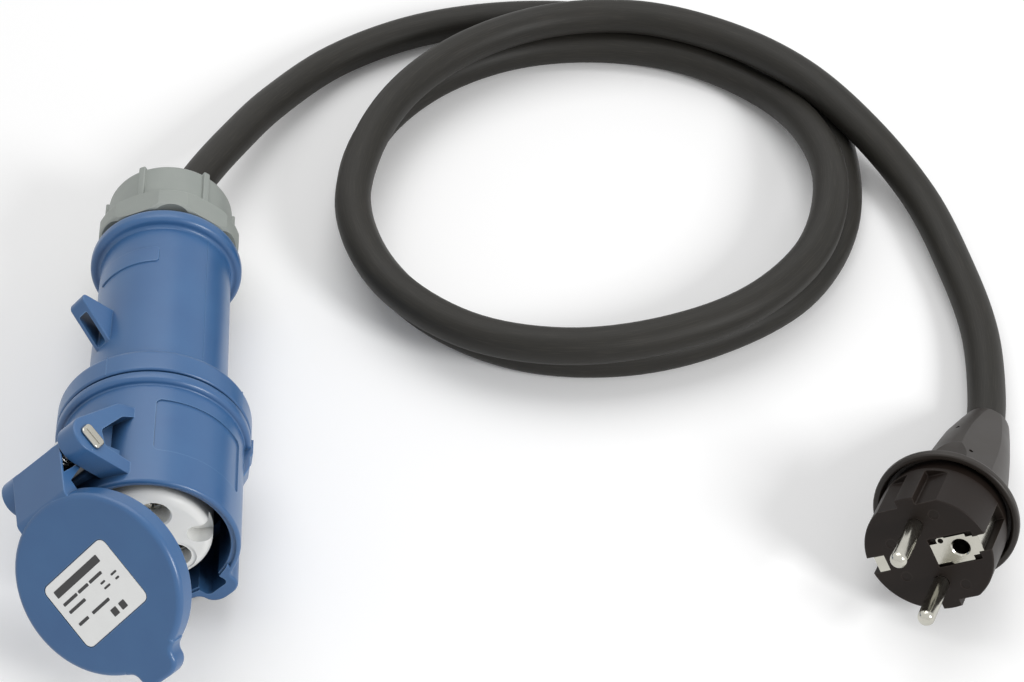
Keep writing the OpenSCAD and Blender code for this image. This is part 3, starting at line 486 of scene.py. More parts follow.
# large faces lead the shading, faces turned about z shade as true rounds, and wide flats stay flat
def evenNormals(mesh, place, crease):
    inverse, outward = (Matrix.Scale(mm, 4) @ place).inverted(), place.to_3x3()
    inward = outward.inverted()
    facing = [Vector(f.normal) for f in mesh.polygons]
    weighed = [f.normal * f.area for f in mesh.polygons]
    around = [[] for v in mesh.vertices]
    for f in mesh.polygons:
        for v in f.vertices:
            around[v].append(f.index)
    near = cos(radians(crease))
    spots = [inverse @ v.co for v in mesh.vertices]
    normals = [None] * len(mesh.loops)
    for f in mesh.polygons:
        middle, local = inverse @ f.center, inward @ facing[f.index]
        reach = hypot(middle.x, middle.y)
        aside = [abs(spots[v].y * middle.x - spots[v].x * middle.y) for v in f.vertices]
        isTurned = (reach > shading["clearOfAxis"]
                    and abs(local.y * middle.x - local.x * middle.y) < shading["lean"] * reach
                    and max(aside) < shading["facet"] * reach * reach)    # a facet a few degrees wide
        for i, v in zip(f.loop_indices, f.vertices):
            alike = (weighed[k] for k in around[v] if facing[k].dot(facing[f.index]) > near)
            normal = sum(alike, Vector()).normalized()
            if isTurned:
                normal, radial = inward @ normal, Vector((spots[v].x, spots[v].y, 0)).normalized()
                normal = outward @ (radial * normal.dot(radial) + Vector((0, 0, normal.z)))
            normals[i] = normal.normalized()
        if len(f.vertices) > 4 and f.area > shading["wideFlat"] and not isTurned:
            for i in f.loop_indices:
                normals[i] = facing[f.index]
    mesh.normals_split_custom_set(normals)


def finishPiece(name, bm, place, body, material, nodes=(), crease=34):
    bmesh.ops.transform(bm, matrix=Matrix.Scale(mm, 4) @ place, verts=bm.verts)
    for f in bm.faces:
        f.smooth = True
    for e in bm.edges:
        e.smooth = e.calc_face_angle(0) < radians(crease)
    mesh = bpy.data.meshes.new(name)
    bm.to_mesh(mesh)
    bm.free()
    mesh.materials.append(material)
    evenNormals(mesh, place, crease)
    obj = bpy.data.objects.new(name, mesh)
    scene.collection.objects.link(obj)
    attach(obj, body)
    if nodes:
        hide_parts(*nodes)
    return obj


def sweep(points, radius, sides, up, uvName=None):    # round tube along points
    bm = bmesh.new()
    uvLayer = bm.loops.layers.uv.new(uvName) if uvName else None
    frames, run = [], 0.0
    for i, p in enumerate(points):
        t = (points[min(i + 1, len(points) - 1)] - points[max(i - 1, 0)]).normalized()
        s = t.cross(up).normalized()
        w = s.cross(t)
        frames.append(Matrix(((s.x, w.x, t.x, p.x), (s.y, w.y, t.y, p.y), (s.z, w.z, t.z, p.z), (0, 0, 0, 1))))
    ring = bmesh.ops.create_circle(bm, cap_ends=True, segments=sides, radius=radius, matrix=frames[0])["verts"]
    edges = [e for e in bm.edges if all(v in ring for v in e.verts)]
    for i in range(1, len(points)):
        step = (points[i] - points[i - 1]).length
        made = bmesh.ops.extrude_edge_only(bm, edges=edges)["geom"]
        verts = [g for g in made if isinstance(g, bmesh.types.BMVert)]
        edges = [g for g in made if isinstance(g, bmesh.types.BMEdge) and all(v in verts for v in g.verts)]
        bmesh.ops.transform(bm, matrix=frames[i] @ frames[i - 1].inverted(), verts=verts)
        if uvLayer:
            inverse = frames[i].inverted()
            for f in {f for e in edges for f in e.link_faces}:
                for loop in f.loops:
                    new = loop.vert in verts
                    spot = inverse @ loop.vert.co if new else frames[i - 1].inverted() @ loop.vert.co
                    along = run + (step if new else 0)
                    loop[uvLayer].uv = (along * mm, Vector(spot[:2]).angle_signed((1, 0)) * radius * mm)
        run += step
    bmesh.ops.contextual_create(bm, geom=edges)
    bmesh.ops.recalc_face_normals(bm, faces=bm.faces)
    return bm


# cable: two loose turns, the second lying on the first
cable = {"diameter": 11.5, "lay": 5.75, "sides": 28, "between": 8, "length": 1.41, "lean": 1.3,
         "inConnector": (98, 113.5, 129), "inHood": (66, 48.6), "end": 47.6}
lay = cable["lay"]
route = [
    (13.6, 108, 19.3), (23.3, 130, 14.5), (36, 153.5, 9.5), (56.5, 177, lay + 0.5), (84, 191.5, lay),
    (114.5, 197, lay), (145.5, 195, lay), (175.5, 186.5, lay), (202, 170.5, lay), (219.5, 145.5, lay),
    (223.5, 115, lay), (218, 84.5, lay), (201.5, 58.5, lay), (175, 42, lay), (145, 34.5, lay), (114, 38, lay),
    (87.5, 53.5, lay), (69, 78.5, lay), (62, 108.5, lay), (68.5, 139, lay), (88, 163, lay),
    (115.5, 177.5, lay), (146, 180.5, lay), (176.5, 173, lay), (201, 154.5, 6.5), (213.5, 127, 12.5),
    (216, 96.5, 17), (206.5, 66.5, 17.5), (185, 44.5, 17.5), (156.5, 33, 17), (125.5, 30.5, 16.5),
    (96, 39.5, 16), (73, 60.5, 16.5), (62.5, 89.5, 17.5), (66.5, 120, 17), (80, 148, 17), (102.5, 169, 17.5),
    (131.5, 181, 17.5), (162, 181.5, 17), (190.5, 169, 17), (213, 148, 18), (231, 122.5, 15.4),
    (246, 96.5, 8.6), (252.8, 66.5, lay + 0.5), (255.3, 39.5, lay), (252.6, 13.5, lay + 0.5)]


def connectorAxis(z):
    return connectorPlace @ Vector((0, 0, z))


def plugAxis(z):
    return plugPlace @ Vector((0, 0, z))


stops = [*map(connectorAxis, cable["inConnector"]), connectorAxis(139.8) + Vector((cable["lean"], 0, 0)),
         *map(Vector, route), *map(plugAxis, cable["inHood"])]
cableLine = []
for i in range(1, len(stops) - 1):    # smooth curve through the stops
    a, b, c, d = stops[i - 1], stops[i], stops[i + 1], stops[min(i + 2, len(stops) - 1)]
    for k in range(cable["between"]):
        f = k / cable["between"]
        bend = a - 2.5 * b + 2 * c - d / 2 + f * (1.5 * (b - c) + (d - a) / 2)
        cableLine.append(b + f * ((c - a) / 2 + f * bend))
cableLine.append(plugAxis(cable["end"]))
bm = sweep(cableLine, cable["diameter"] / 2, cable["sides"], Vector((0, 0, 1)), "alongCable")
cablePiece = finishPiece("cable", bm, Matrix.Identity(4), "connector", cableSheath,
                         ["cable_sheath"], 60)
print("cable laid")


# front sleeve with its bead, key lobe, hinge ears and label recess
sleeve = {"outer": 25.8, "bore": 23, "lip": 24.2, "lipDepth": 0.9, "foot": 36.8, "bead": 27.7, "seam": 40.85,
          "spigot": 25.4, "spigotBore": 22.8, "spigotEnd": 45.4, "shelf": 33, "shelfBack": 36, "throat": 18.1,
          "core": 24.4, "keyReach": 30.8, "keyHalf": 6, "keyLength": 24, "keySeat": 24.2, "keyBore": 23.4,
          "keyway": 26.5, "keywayHalf": 4.1, "recess": (11.8, 31), "recessArc": 67.5, "recessTurn": 51.75,
          "recessDepth": 0.45, "latchHalf": 2.5, "latchTurn": 143, "saddle": ((20, -11.4, 4.6), (28, 9.6, 20))}
ears = {"hub": (hinge["x"], hinge["z"]), "radius": 5.7, "inner": 9.2, "outer": 16.2, "farHub": (32.2, 6.9),
        "farInner": 10.9, "frontFoot": (17.4, 2.9), "knee": (25.8, 25.7), "rearFoot": (17.4, 28.6), "pocket": 5,
        "pinHole": 2.25, "pinRoom": 20}
keyShape = {"root": 21, "rootFlare": 3.2, "seatFlare": 2.8, "shoulder": 25.3, "fillet": 1.5, "round": 4.7}


def keyLobe(reach, low, high, seat):    # half-round lobe on the side away from the hinge
    sides = [[(-keyShape["root"], y + out * keyShape["rootFlare"]), (-seat, y + out * keyShape["seatFlare"]),
              (-keyShape["shoulder"], y, keyShape["fillet"]), (-reach, y, keyShape["round"])]
             for y, out in ((low, -1), (high, 1))]
    return sides[0] + sides[1][::-1]


def hingeDisc(centre, radius, ends, steps=40):    # points round an axis along y, at some stations
    x, z = centre
    return [(x + radius * cos(2 * pi * i / steps), y, z + radius * sin(2 * pi * i / steps))
            for i in range(steps) for y in ends]


def hingeRod(radius, low, high, taper=0):
    hubX, hubZ = ears["hub"]
    return moved(cylinder(radius, low, high, 48, taper), shift(hubX, 0, hubZ) @ turn(-90, "X"))


def pinRoom():    # what the hinge pin needs through the ears and the lid's arm
    return hingeRod(ears["pinHole"], -ears["pinRoom"], ears["pinRoom"])


def sleeveCore():    # keeps what is added outside the sleeve out of its bore
    return cylinder(sleeve["core"], -5, 45, 96)


def across(corners, low, high, edge=0.0, segments=3):    # outline in x and z, thick from one y to another
    low, high = sorted((low, high))
    return moved(standUp(slab(corners, high - low, edge, segments)), shift(0, high, 0))


def hingeEar(side):
    ends = (ears["inner"], ears["outer"]) if side > 0 else (-ears["farInner"], -ears["outer"])
    feet = [(x, y, z) for x, z in (ears["frontFoot"], ears["knee"], ears["rearFoot"]) for y in ends]
    centre = ears["hub"] if side > 0 else ears["farHub"]    # the far ear is cut lower
    bm = soften(hull(hingeDisc(centre, ears["radius"], ends) + feet), 0.5, 3, 50)
    floor = ears["outer"] - ears["pocket"]
    pocket = across([(15, 6.9), (28.7, 7.3, 0.9), (30.6, 12.2, 1.0), (24, 21.6, 0.9), (19.3, 24.4, 0.6),
                     (15, 25.6)], side * floor, side * (ears["outer"] + 1))
    rib = across([(16, 10.6), (29.5, 9.2), (29.5, 10.4), (16, 13.4)], side * (floor - 0.4),
                 side * (floor + 2.3), 0.2, 2)
    return cut(joined(cut(bm, pocket), rib), sleeveCore(), pinRoom())


tube = turned([
    (sleeve["bore"], sleeve["lipDepth"], 0.3), (sleeve["lip"], sleeve["lipDepth"], 0.15),
    (sleeve["lip"] + 0.2, 0, 0.3), (sleeve["outer"], 0, 1.0), (sleeve["outer"], sleeve["foot"], 0.5),
    (sleeve["bead"], sleeve["foot"], 1.5), (sleeve["bead"], sleeve["seam"], 1.7),
    (sleeve["spigot"], sleeve["seam"], 0.2), (sleeve["spigot"], sleeve["spigotEnd"]),
    (sleeve["spigotBore"], sleeve["spigotEnd"]), (sleeve["spigotBore"], sleeve["shelfBack"]),
    (sleeve["throat"], sleeve["shelfBack"]), (sleeve["throat"], sleeve["shelf"]),
    (sleeve["bore"], sleeve["shelf"], 0.6)], 160)
lobe = slab(keyLobe(sleeve["keyReach"], -sleeve["keyHalf"], sleeve["keyHalf"], sleeve["keySeat"]),
            sleeve["keyLength"], 0.9)
lobe = cut(lobe, cylinder(sleeve["keyBore"], -2, sleeve["shelf"] - 1, 96))
half = sleeve["keywayHalf"]
keyway = slab([(-sleeve["keyway"], -half, 1.7), (-20, -half), (-20, half), (-sleeve["keyway"], half, 1.7)], 24)
moved(keyway, shift(0, 0, -3))
front, back = sleeve["recess"]
panel = slab(oblong(0, front, sleeve["outer"] * radians(sleeve["recessArc"]), back, 1.6), 2)
panel = wrapped(moved(panel, shift(0, 0, -sleeve["recessDepth"])), sleeve["outer"])
moved(panel, turn(sleeve["recessTurn"], "Z"))
latch = across([(25, 41), (28.2, 41), (28.2, 35.6, 0.5), (27.4, 34.2, 0.5), (27.4, 30.4, 0.6), (25, 24.4)],
               -sleeve["latchHalf"], sleeve["latchHalf"], 0.3)
moved(latch, turn(sleeve["latchTurn"], "Z"))
saddle = cut(soften(block(*sleeve["saddle"]), 1.2), sleeveCore())
bm = cut(joined(tube, saddle, lobe, hingeEar(1), hingeEar(-1), latch), keyway, panel)
finishPiece("front_sleeve", bm, connectorPlace, "connector", bluePolyamide, ["front_housing"])
print("front sleeve made")


# handle with its skirt, rear collar, strap eye and blank raised strip
handle = {"skirt": 27.7, "skirtBore": 25.5, "skirtFront": 40.9, "skirtBack": 49.4, "skirtFloor": 47,
          "front": 20.3, "rear": 19.7, "bore": 17, "boreEnd": 109, "collar": 23, "collarFront": 110.6,
          "collarBack": 115.9, "thread": 16, "threadEnd": 127.9, "cageBore": 10.1, "cageFloor": 112,
          "cableHole": 6.75,
          "strip": (94.7, 101), "stripArc": 63, "stripTurn": -18, "stripSunk": 1.85,
          "eyeHalf": 3.2, "eyeTurn": -4, "eyeFoot": (18.4, 65.5)}
seams = {"half": 0.14, "from": 50, "to": 110.9, "at": (89, 269), "proud": 0.07, "narrowing": 0.6, "run": 61,
         "skirtHalf": 0.12, "skirtAt": (20, 112, 200, 292)}
tube = turned([
    (handle["skirtBore"], handle["skirtFront"], 0.3), (handle["skirt"], handle["skirtFront"], 0.8),
    (handle["skirt"], handle["skirtBack"], 2.2), (handle["front"], handle["skirtBack"], 1.6),
    (handle["rear"], handle["collarFront"], 1.2), (handle["collar"], handle["collarFront"], 1.7),
    (handle["collar"], handle["collarBack"], 2.4), (handle["thread"], handle["collarBack"], 0.3),
    (handle["thread"], handle["threadEnd"], 0.8), (handle["cageBore"], handle["threadEnd"]),
    (handle["cageBore"], handle["cageFloor"]), (handle["cableHole"], handle["cageFloor"]),
    (handle["cableHole"], handle["boreEnd"]), (handle["bore"], handle["boreEnd"]),
    (handle["bore"], handle["skirtFloor"]), (handle["skirtBore"], handle["skirtFloor"])], 160)
front, back = handle["strip"]
raised = slab(oblong(0, front, handle["rear"] * radians(handle["stripArc"]), back, 1.2), 2.5, 0.3, 2)
raised = wrapped(moved(raised, shift(0, 0, -handle["stripSunk"])), handle["rear"])
moved(raised, turn(handle["stripTurn"], "Z"))
strapEye = across([(-1, 0), (1.6, 0, 0.4), (11.9, 10.6, 0.7), (11.9, 12.4, 0.5), (11.2, 13.1, 0.4), (-1, 13.1)],
                  -handle["eyeHalf"], handle["eyeHalf"], 0.45)
strapEye = cut(strapEye, soften(block((1.9, -1.9, -4), (9.4, 1.9, 20)), 0.6))
moved(strapEye, turn(handle["eyeTurn"], "Z") @ shift(handle["eyeFoot"][0], 0, handle["eyeFoot"][1]))
half = seams["half"]
seamLine = [moved(block((18, -half, seams["from"]), (20.36, half, seams["to"]), 0.05, 1), turn(angle, "Z"))
            for angle in seams["at"]]
for line in seamLine:    # leans with the handle's taper
    for v in line.verts:
        r = hypot(v.co.x, v.co.y)
        if r > 19:
            slimmer = seams["narrowing"] * (v.co.z - seams["from"]) / seams["run"]
            v.co.xy *= (handle["front"] + seams["proud"] - slimmer) / r
half = seams["skirtHalf"]
skirtLine = [moved(block((26.9, -half, 41.2), (27.76, half, 48.2), 0.04, 1), turn(angle, "Z"))
             for angle in seams["skirtAt"]]
bm = joined(tube, raised, strapEye, *seamLine, *skirtLine)
finishPiece("handle", bm, connectorPlace, "connector", bluePolyamide, ["rear_housing"])
print("handle made")


# grey gland nut: ribbed cap on a base with six flats, its corners turned back at the front
nut = {"base": 22.5, "baseFront": 21.6, "flat": 21.3, "body": 19.3, "bore": 16.1, "hole": 7.95, "front": 117,
       "step": 126.1, "floor": 136.8, "back": 141, "ribs": 6, "ribFrom": 23, "ribWidth": 2.2, "ribHeight": 0.9,
       "arch": 9, "archTop": 118.3, "archAt": 20.8}
bm = turned([
    (nut["bore"], nut["front"], 0.3), (nut["baseFront"], nut["front"], 0.5),
    (nut["base"], nut["front"] + 1.6, 0.6), (nut["base"], nut["step"] - 1.2, 0.9),
    (nut["body"] + 0.4, nut["step"], 0.5), (nut["body"], nut["step"] + 0.2, 0.2),
    (nut["body"], nut["back"], 2.6), (nut["hole"], nut["back"], 0.9), (nut["hole"], nut["floor"]),
    (nut["bore"], nut["floor"])], 144)
half = nut["ribWidth"] / 2
for i in range(nut["ribs"]):
    angle = nut["ribFrom"] + i * 360 / nut["ribs"]
    rib = soften(block((nut["body"] - 1, -half, nut["step"] - 2),
                       (nut["body"] + nut["ribHeight"], half, nut["back"] - 0.7)), 0.45)
    flat = block((nut["flat"], -14, nut["front"] - 2), (nut["flat"] + 4, 14, nut["step"] + 2), 0.3, 2)
    arch = cylinder(nut["arch"], -5.5, 6, 64)
    moved(arch, shift(nut["archAt"], 0, nut["archTop"] - nut["arch"]) @ turn(90, "Y"))
    bm = joined(cut(bm, moved(flat, turn(angle, "Z"))), moved(rib, turn(angle, "Z")))
    bm = cut(bm, moved(arch, turn(angle + 30, "Z")))
finishPiece("gland_cap", bm, connectorPlace, "connector", greyPolyamide, ["gland_nut"])
print("gland nut made")


# contact block: pale insert with three contact ways and two rim notches
insert = {"radius": 18, "face": 2, "rim": 2.6, "flange": 22.7, "flangeFrom": 36, "flangeTo": 39, "shank": 15.8,
          "end": 65.4, "circle": 10.2, "ways": {60: 4.4, -60: 4.4, 180: 4.6}, "dish": 6, "dishDepth": 0.6,
          "notches": (127, 233), "notchFrom": 11.2, "notchHalf": 3.2}
bm = turned([(0, insert["face"]), (insert["radius"], insert["face"], insert["rim"]),
             (insert["radius"], insert["flangeFrom"]), (insert["flange"], insert["flangeFrom"]),
             (insert["flange"], insert["flangeTo"]), (insert["shank"], insert["flangeTo"]),
             (insert["shank"], insert["end"]), (0, insert["end"])], 128)
for angle, radius in insert["ways"].items():
    way = turned([(0, -2), (radius + 0.5, -2), (radius + 0.5, insert["face"] - 0.02),
                  (radius, insert["face"] + 0.5), (radius, 70), (0, 70)], 64)
    bm = cut(bm, moved(way, turn(angle, "Z") @ shift(insert["circle"], 0, 0)))
dishFloor = insert["face"] + insert["dishDepth"]
dish = turned([(0, -2), (insert["dish"], -2), (insert["dish"], dishFloor, 0.25), (0, dishFloor)], 64)
bm = cut(bm, moved(dish, shift(-insert["circle"], 0, 0)))
half, root = insert["notchHalf"], insert["notchFrom"]
for angle in insert["notches"]:
    notch = slab([(root, -half, 3.0), (22, -half), (22, half), (root, half, 3.0)], 9)
    bm = cut(bm, moved(notch, turn(angle, "Z") @ shift(0, 0, -2)))
finishPiece("contact_block", bm, connectorPlace, "connector", paleThermoset,
            ["contact_carrier"])

contacts = {    # angle, outer radius, bore radius
    "line_contact": (60, 4.3, 2.5), "neutral_contact": (-60, 4.3, 2.5), "earth_contact": (180, 4.5, 3.5)}
for name, (angle, outer, bore) in contacts.items():
    bm = turned([(bore, 8, 0.3), (outer, 8, 0.5), (outer, 64.4), (1.65, 64.4), (1.65, 54.4), (0, 54.4), (0, 34),
                 (bore, 34)], 48)
    bm = cut(bm, block((-6, -0.35, 7), (6, 0.35, 21)))    # split at the mouth
    finishPiece(name.replace("_contact", "_tube"), moved(bm, turn(angle, "Z") @ shift(insert["circle"], 0, 0)),
                connectorPlace, "connector", contactBrass, [name])
print("contacts made")


# sprung lid: dished disc with a key lobe, a hinge arm and a shallow label recess
lid = {"radius": 25.5, "front": -6.4, "back": -0.4, "inside": -4.2, "edge": 1.7, "bore": 20.6,
       "key": (30.5, -6.2, 7.2, 23.9), "arm": (-10.6, 8.9), "barrel": 2.9, "barrelTaper": 0.7, "coilFrom": 4.7,
       "sealFloor": -2.4, "label": (20.2, 25.5), "labelGap": 0.3}
labelPlace = shift(-1.5, -1.5, lid["front"]) @ turn(-4.7, "Z")
disc = turned([(0, lid["front"]), (lid["radius"], lid["front"], lid["edge"]), (lid["radius"], lid["back"], 0.4),
               (lid["bore"], lid["back"], 0.4), (lid["bore"], lid["inside"], 0.6), (0, lid["inside"])], 160)
lobe = moved(slab(keyLobe(*lid["key"]), lid["back"] - lid["front"], 1.3), shift(0, 0, lid["front"]))
arm = across([(22.6, -0.45), (26.7, -0.4), (29.4, 9.35), (34, 8), (37.1, 4.4), (25, -5.9, 0.8), (22.6, -5.9)],
             *lid["arm"], 0.35)
barrel = soften(hingeRod(lid["barrel"], lid["arm"][0], lid["coilFrom"], lid["barrelTaper"]), 0.3, 3, 50)
coilRoom = across([(29.6, -1.2), (44, 11.1), (44, 16), (29.6, 16)], lid["coilFrom"], 12)
groove = turned([(22.3, lid["sealFloor"], 0.2), (24.7, lid["sealFloor"], 0.2), (24.7, 2), (22.3, 2)], 128)
h, w = lid["label"][0] / 2 + lid["labelGap"], lid["label"][1] / 2 + lid["labelGap"]
seat = moved(slab(oblong(-h, -w, h, w, 2.3), 2.3), labelPlace @ shift(0, 0, -2))
bm = cut(joined(disc, lobe, arm, barrel), coilRoom, pinRoom(), groove, seat)
finishPiece("lid_shell", bm, lidPlace, "lid", bluePolyamide, ["lid"])

h, w = lid["label"][0] / 2, lid["label"][1] / 2
film = slab(oblong(-h, -w, h, w, 2), 0.3, 0.06, 2)
finishPiece("rating_label", moved(film, labelPlace), lidPlace, "lid", whiteFilm, ["lid_label"])

printing = {"thick": 0.04, "corner": 0.25, "bars": [    # across the label, along it from and to, height
    (6.6, -10.4, 8.0, 2.2), (3.2, -10.4, -4.6, 0.9), (3.2, -4.0, 0.2, 0.9), (3.2, 0.8, 6.0, 0.9),
    (0.7, -10.4, -3.6, 0.9), (0.9, 3.4, 5.2, 0.6), (0.9, 7.8, 10.0, 0.6), (-0.7, 3.4, 5.8, 0.6),
    (-0.7, 8.2, 9.6, 0.6), (-3.4, -10.4, -6.4, 0.9), (-3.4, -4.6, 2.6, 0.9), (-7.0, 0.4, 2.6, 2.2),
    (-7.0, 3.8, 6.0, 2.2)]}
bm = bmesh.new()
for x, y0, y1, tall in printing["bars"]:
    bar = slab(oblong(x - tall / 2, y0, x + tall / 2, y1, printing["corner"]), printing["thick"])
    moved(bar, labelPlace @ shift(0, 0, -printing["thick"]))
    temp = bpy.data.meshes.new("temp")
    bar.to_mesh(temp)
    bar.free()
    bm.from_mesh(temp)
    bpy.data.meshes.remove(temp)
finishPiece("label_print", bm, lidPlace, "lid", printInk)

gasket = turned([(22.4, lid["sealFloor"], 0.3), (24.6, lid["sealFloor"], 0.3), (24.6, -0.2, 0.9),
                 (22.4, -0.2, 0.9)], 128)
finishPiece("lid_gasket", gasket, lidPlace, "lid", sealRubber, ["lid_seal"])
print("lid made")


# hinge pin with a flattened head, and the coil spring round it
pin = {"radius": 2.2, "end": 16.2, "head": (7, 4.6, 0.95), "headCorner": 1.3, "headTurn": -30}
hubX, hubZ = ears["hub"]
rod = hingeRod(pin["radius"], -pin["end"], pin["end"] + 0.3)
long, wide, tall = pin["head"]
head = slab(oblong(-long / 2, -wide / 2, long / 2, wide / 2, pin["headCorner"]), tall, 0.4)
crease = moved(block((-2.6, -0.35, tall - 0.18), (2.6, 0.35, tall + 1), 0.12, 2), shift(0, 0.7, 0))
head = cut(head, crease)
moved(head, shift(hubX - 0.5, pin["end"], hubZ - 0.7) @ turn(-90, "X") @ turn(pin["headTurn"], "Z"))
bm = joined(rod, head)
finishPiece("hinge_rivet", bm, connectorPlace, "connector", nickelPlate, ["hinge_pin"])

spring = {"coil": 3.5, "wire": 0.45, "sides": 12, "turns": 3, "pitch": 1.15, "from": 5.25, "steps": 28,
          "leg": (10, 7, 4, 2)}
coil = [Vector((hubX - spring["coil"], spring["from"], hubZ + z)) for z in spring["leg"]]
for i in range(spring["turns"] * spring["steps"] + 1):
    a = pi + 2 * pi * i / spring["steps"]
    coil.append(Vector((hubX + spring["coil"] * cos(a), spring["from"] + i * spring["pitch"] / spring["steps"],
                        hubZ + spring["coil"] * sin(a))))
coil.append(coil[-1] + Vector((0, 0, -1)))
bm = sweep(coil, spring["wire"], spring["sides"], Vector((0, 1, 0)))
finishPiece("coil_spring", bm, connectorPlace, "connector", springSteel, ["lid_spring"], 60)
print("hinge made")


# plug hood: brim like a shallow dish, and a neck that goes from square with round corners to round
hood = {"brim": 20.9, "front": 18.9, "mouth": 18.3, "floor": 21.8, "corner": 16.0, "cornerMid": 12.0,
        "cornerEnd": 9.4, "neckFrom": 23.4, "cableStop": 47.6, "cableHole": 5.8, "end": 6.9, "length": 70,
        "thumb": 16, "thumbCut": -8.6, "dimples": [(271, 51.5, 10.2), (308, 36, 13.2)],    # angle, z, reach
        "sides": [    # angle, reach, lean
            (47, 15.1, -10.2), (137, 14.4, -9), (227, 12.9, -5.2), (317, 15.1, -10.2)]}
bm = turned([
    (hood["mouth"], 20.8), (18.8, 19.6, 0.3), (19.1, hood["front"], 0.4), (hood["brim"], hood["front"], 0.7),
    (hood["brim"], 21.5, 0.9), (18.6, 22.6, 0.9), (hood["corner"], hood["neckFrom"], 0.9),
    (hood["cornerMid"], hood["cableStop"], 6), (hood["cornerEnd"], 60, 3.5), (hood["end"] + 0.4, 68.6, 0.9),
    (hood["end"], hood["length"], 0.4), (hood["cableHole"], hood["length"]),
    (hood["cableHole"], hood["cableStop"]), (9, 33.6), (12, hood["floor"]),
    (hood["mouth"], hood["floor"])], 128)
for angle, reach, lean in hood["sides"]:
    side = soften(block((0, -22, 1.4), (14, 22, 60)), 0.5, 3)
    place = turn(angle, "Z") @ shift(reach, 0, hood["neckFrom"]) @ turn(lean, "Y")
    bm = cut(bm, moved(side, place))
dish = bmesh.new()    # thumb rest behind the brim
bmesh.ops.create_uvsphere(dish, u_segments=96, v_segments=64, radius=hood["thumb"])
bmesh.ops.bisect_plane(dish, geom=dish.verts[:] + dish.edges[:] + dish.faces[:],
                       plane_co=(0, 0, hood["thumbCut"]), plane_no=(0, 0, 1), clear_inner=True)
bmesh.ops.holes_fill(dish, edges=dish.edges)
bm = cut(bm, moved(dish, turn(289, "Z") @ shift(28.7, 0, 33.4)))
for angle, z, reach in hood["dimples"]:
    dimple = cylinder(0.65, -1.4, 3, 24)
    bm = cut(bm, moved(dimple, turn(angle, "Z") @ shift(reach, 0, z) @ turn(90, "Y")))
soften(bm, 0.5, 3, 24, lambda p: 24.5 < p.z < 66 and hypot(p.x, p.y) > 6.9)    # only the neck's own edges
finishPiece("plug_grip", bm, plugPlace, "connector", hoodRubber, ["plug_hood"])


# pin carrier of the plug, with guide slots, clip channels and the earth plate's pocket
carrier = {"radius": 18.2, "waist": 17.2, "waistFrom": 16, "back": 21.8, "plug": 12.2, "end": 24.8, "clear": 20,
           "slotFrom": 2.7, "slotTo": 9.6, "slotDepth": 2.4, "slotEnd": 14.6, "pinHole": 2.3, "pinAt": 9.5,
           "clipHalf": 2.6, "clipFloor": 14.7, "clipEnd": 16.1, "plateDepth": 1.1, "earthAt": 9.8,
           "marks": [(-9, 5.5), (-9, -5.5), (6.5, 11.5), (6.5, -11.5)]}
bm = turned([(0, 0), (carrier["radius"], 0, 0.5), (carrier["radius"], carrier["waistFrom"], 0.25),
             (carrier["waist"], 16.5, 0.2), (carrier["waist"], carrier["back"]),
             (carrier["plug"], carrier["back"]), (carrier["plug"], carrier["end"]), (0, carrier["end"])], 128)
half, clear, plateDepth = carrier["clipHalf"], carrier["clear"], carrier["plateDepth"]
slotFloor = carrier["radius"] - carrier["slotDepth"]
cuts = []
for s in (1, -1):
    cuts += [block((x * carrier["slotFrom"], s * slotFloor, -1),
                   (x * carrier["slotTo"], s * clear, carrier["slotEnd"]), 0.25, 2) for x in (1, -1)]
    cuts += [moved(cylinder(carrier["pinHole"], -1, 30, 48), shift(0, s * carrier["pinAt"], 0)),
             block((s * carrier["clipFloor"], -half, -1), (s * clear, half, carrier["clipEnd"]), 0.2, 2),
             block((s * 12.5, -half, -1), (s * 15.9, half, plateDepth))]
cuts += [block((1.4, -4.4, -1), (14.5, 4.8, plateDepth)),
         moved(cylinder(3.4, -1, 10.7, 48), shift(carrier["earthAt"], 0, 0))]
cuts += [moved(cylinder(1.5, -1, 0.15, 32), shift(x, y, 0)) for x, y in carrier["marks"]]    # left by ejectors
bm = cut(bm, *cuts)
finishPiece("pin_carrier", bm, plugPlace, "connector", blackPolyamide, ["plug_insert"], 14)

prong = {"radius": 2.4, "tip": 1.8, "length": 19, "apart": 9.5, "root": 2.2, "rootFrom": -0.6, "terminal": 3,
         "terminalFrom": 24.9, "end": 33.9}
for name, side in (("plug_line_pin", 1), ("plug_neutral_pin", -1)):
    bm = turned([(0, -prong["length"]), (prong["radius"], -prong["length"], prong["tip"]),
                 (prong["radius"], prong["rootFrom"], 0.15), (prong["root"], prong["rootFrom"]),
                 (prong["root"], prong["terminalFrom"]), (prong["terminal"], prong["terminalFrom"]),
                 (prong["terminal"], prong["end"]), (0, prong["end"])], 64)
    moved(bm, shift(0, side * prong["apart"], 0))
    finishPiece(name.replace("plug_", "").replace("_pin", "_prong"), bm, plugPlace, "connector", nickelPlate,
                [name])

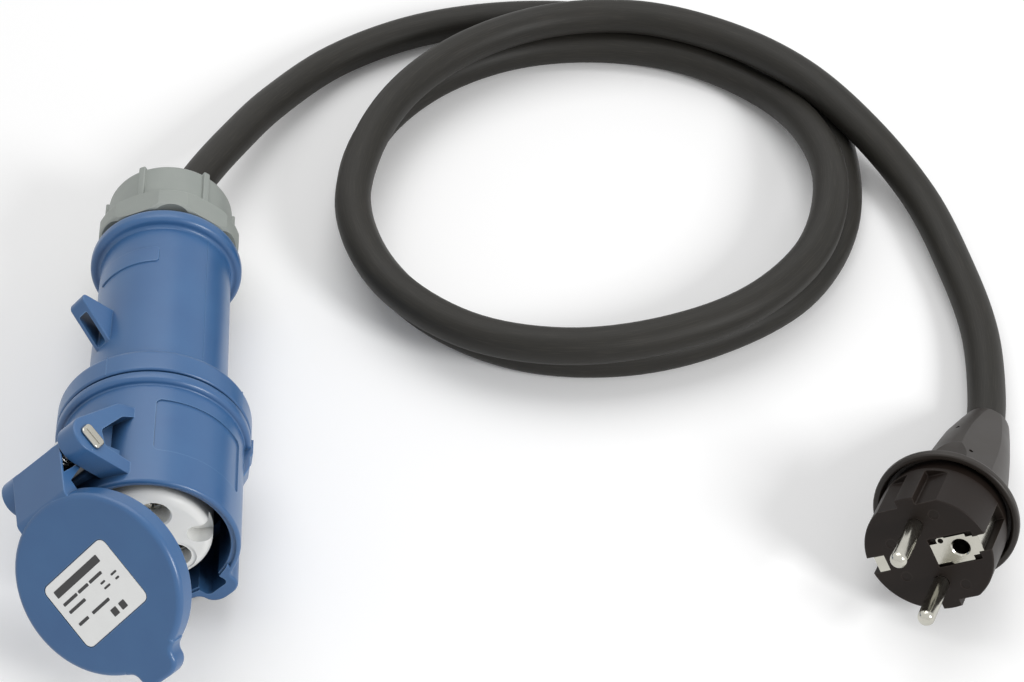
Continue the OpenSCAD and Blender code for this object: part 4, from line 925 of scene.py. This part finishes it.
strip = {"thick": 1, "hole": 2.45, "holeFlare": 0.35, "tube": 3.3, "tubeEnd": 10.6, "clipHalf": 2.5,
         "clipOut": 15.8, "clipLong": 16, "footFrom": 12.6, "bridge": (12.2, 13.2), "bridgeHalf": 15.5}
plate = slab([(1.5, -2.6), (3.7, -2.6), (3.7, -4.2, 0.7), (6.3, -4.2, 0.4), (6.3, -3.9), (12.4, -3.9, 0.3),
              (12.4, -2.9), (14.3, -2.9, 0.2), (14.3, 3.2, 0.2), (12.4, 3.2), (12.4, 4.6, 0.3), (5.8, 4.6, 0.3),
              (5.8, 3.8), (1.5, 3.8)], strip["thick"], 0.12, 2)
neck = cylinder(strip["tube"], 0.3, strip["tubeEnd"], 48)
flare = strip["hole"] + strip["holeFlare"]
hole = turned([(0, -1), (flare, -1), (flare, 0), (strip["hole"], 0.4), (strip["hole"], 12), (0, 12)], 48)
smallHole = cylinder(0.8, -1, 3, 32)
half, low, high = strip["clipHalf"], *strip["bridge"]
bm = joined(plate, moved(neck, shift(carrier["earthAt"], 0, 0)))
for s in (1, -1):
    inside, outside = s * (strip["clipOut"] - strip["thick"]), s * strip["clipOut"]
    clip = block((inside, -half, 0), (outside, half, strip["clipLong"]), 0.25, 2)
    foot = block((s * strip["footFrom"], -half, 0), (outside, half, strip["thick"]), 0.15, 2)
    bm = joined(bm, clip, foot)
bm = joined(bm, block((-strip["bridgeHalf"], -half, low), (strip["bridgeHalf"], half, high)))
bm = cut(bm, moved(hole, shift(carrier["earthAt"], 0, 0)), moved(smallHole, shift(5.0, -3.2, 0)))
finishPiece("earth_clip", bm, plugPlace, "connector", nickelPlate, ["earth_strip"])
print("plug made")


# finishes for the CAD solids that stay as they are
carried = {
    "housing_seal": sealRubber, "gland_seal": sealRubber, "clamp_cage": cagePolyamide,
    "terminal_screws": screwSteel, "line_core": brownCore, "neutral_core": blueCore, "earth_core": greenCore,
    "plug_terminal_screws": screwSteel, "plug_line_core": brownCore, "plug_neutral_core": blueCore,
    "plug_earth_core": greenCore,
}
for name, material in carried.items():
    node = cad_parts[name]
    node.data.materials.clear()
    node.data.materials.append(material)
print("CAD solids finished")
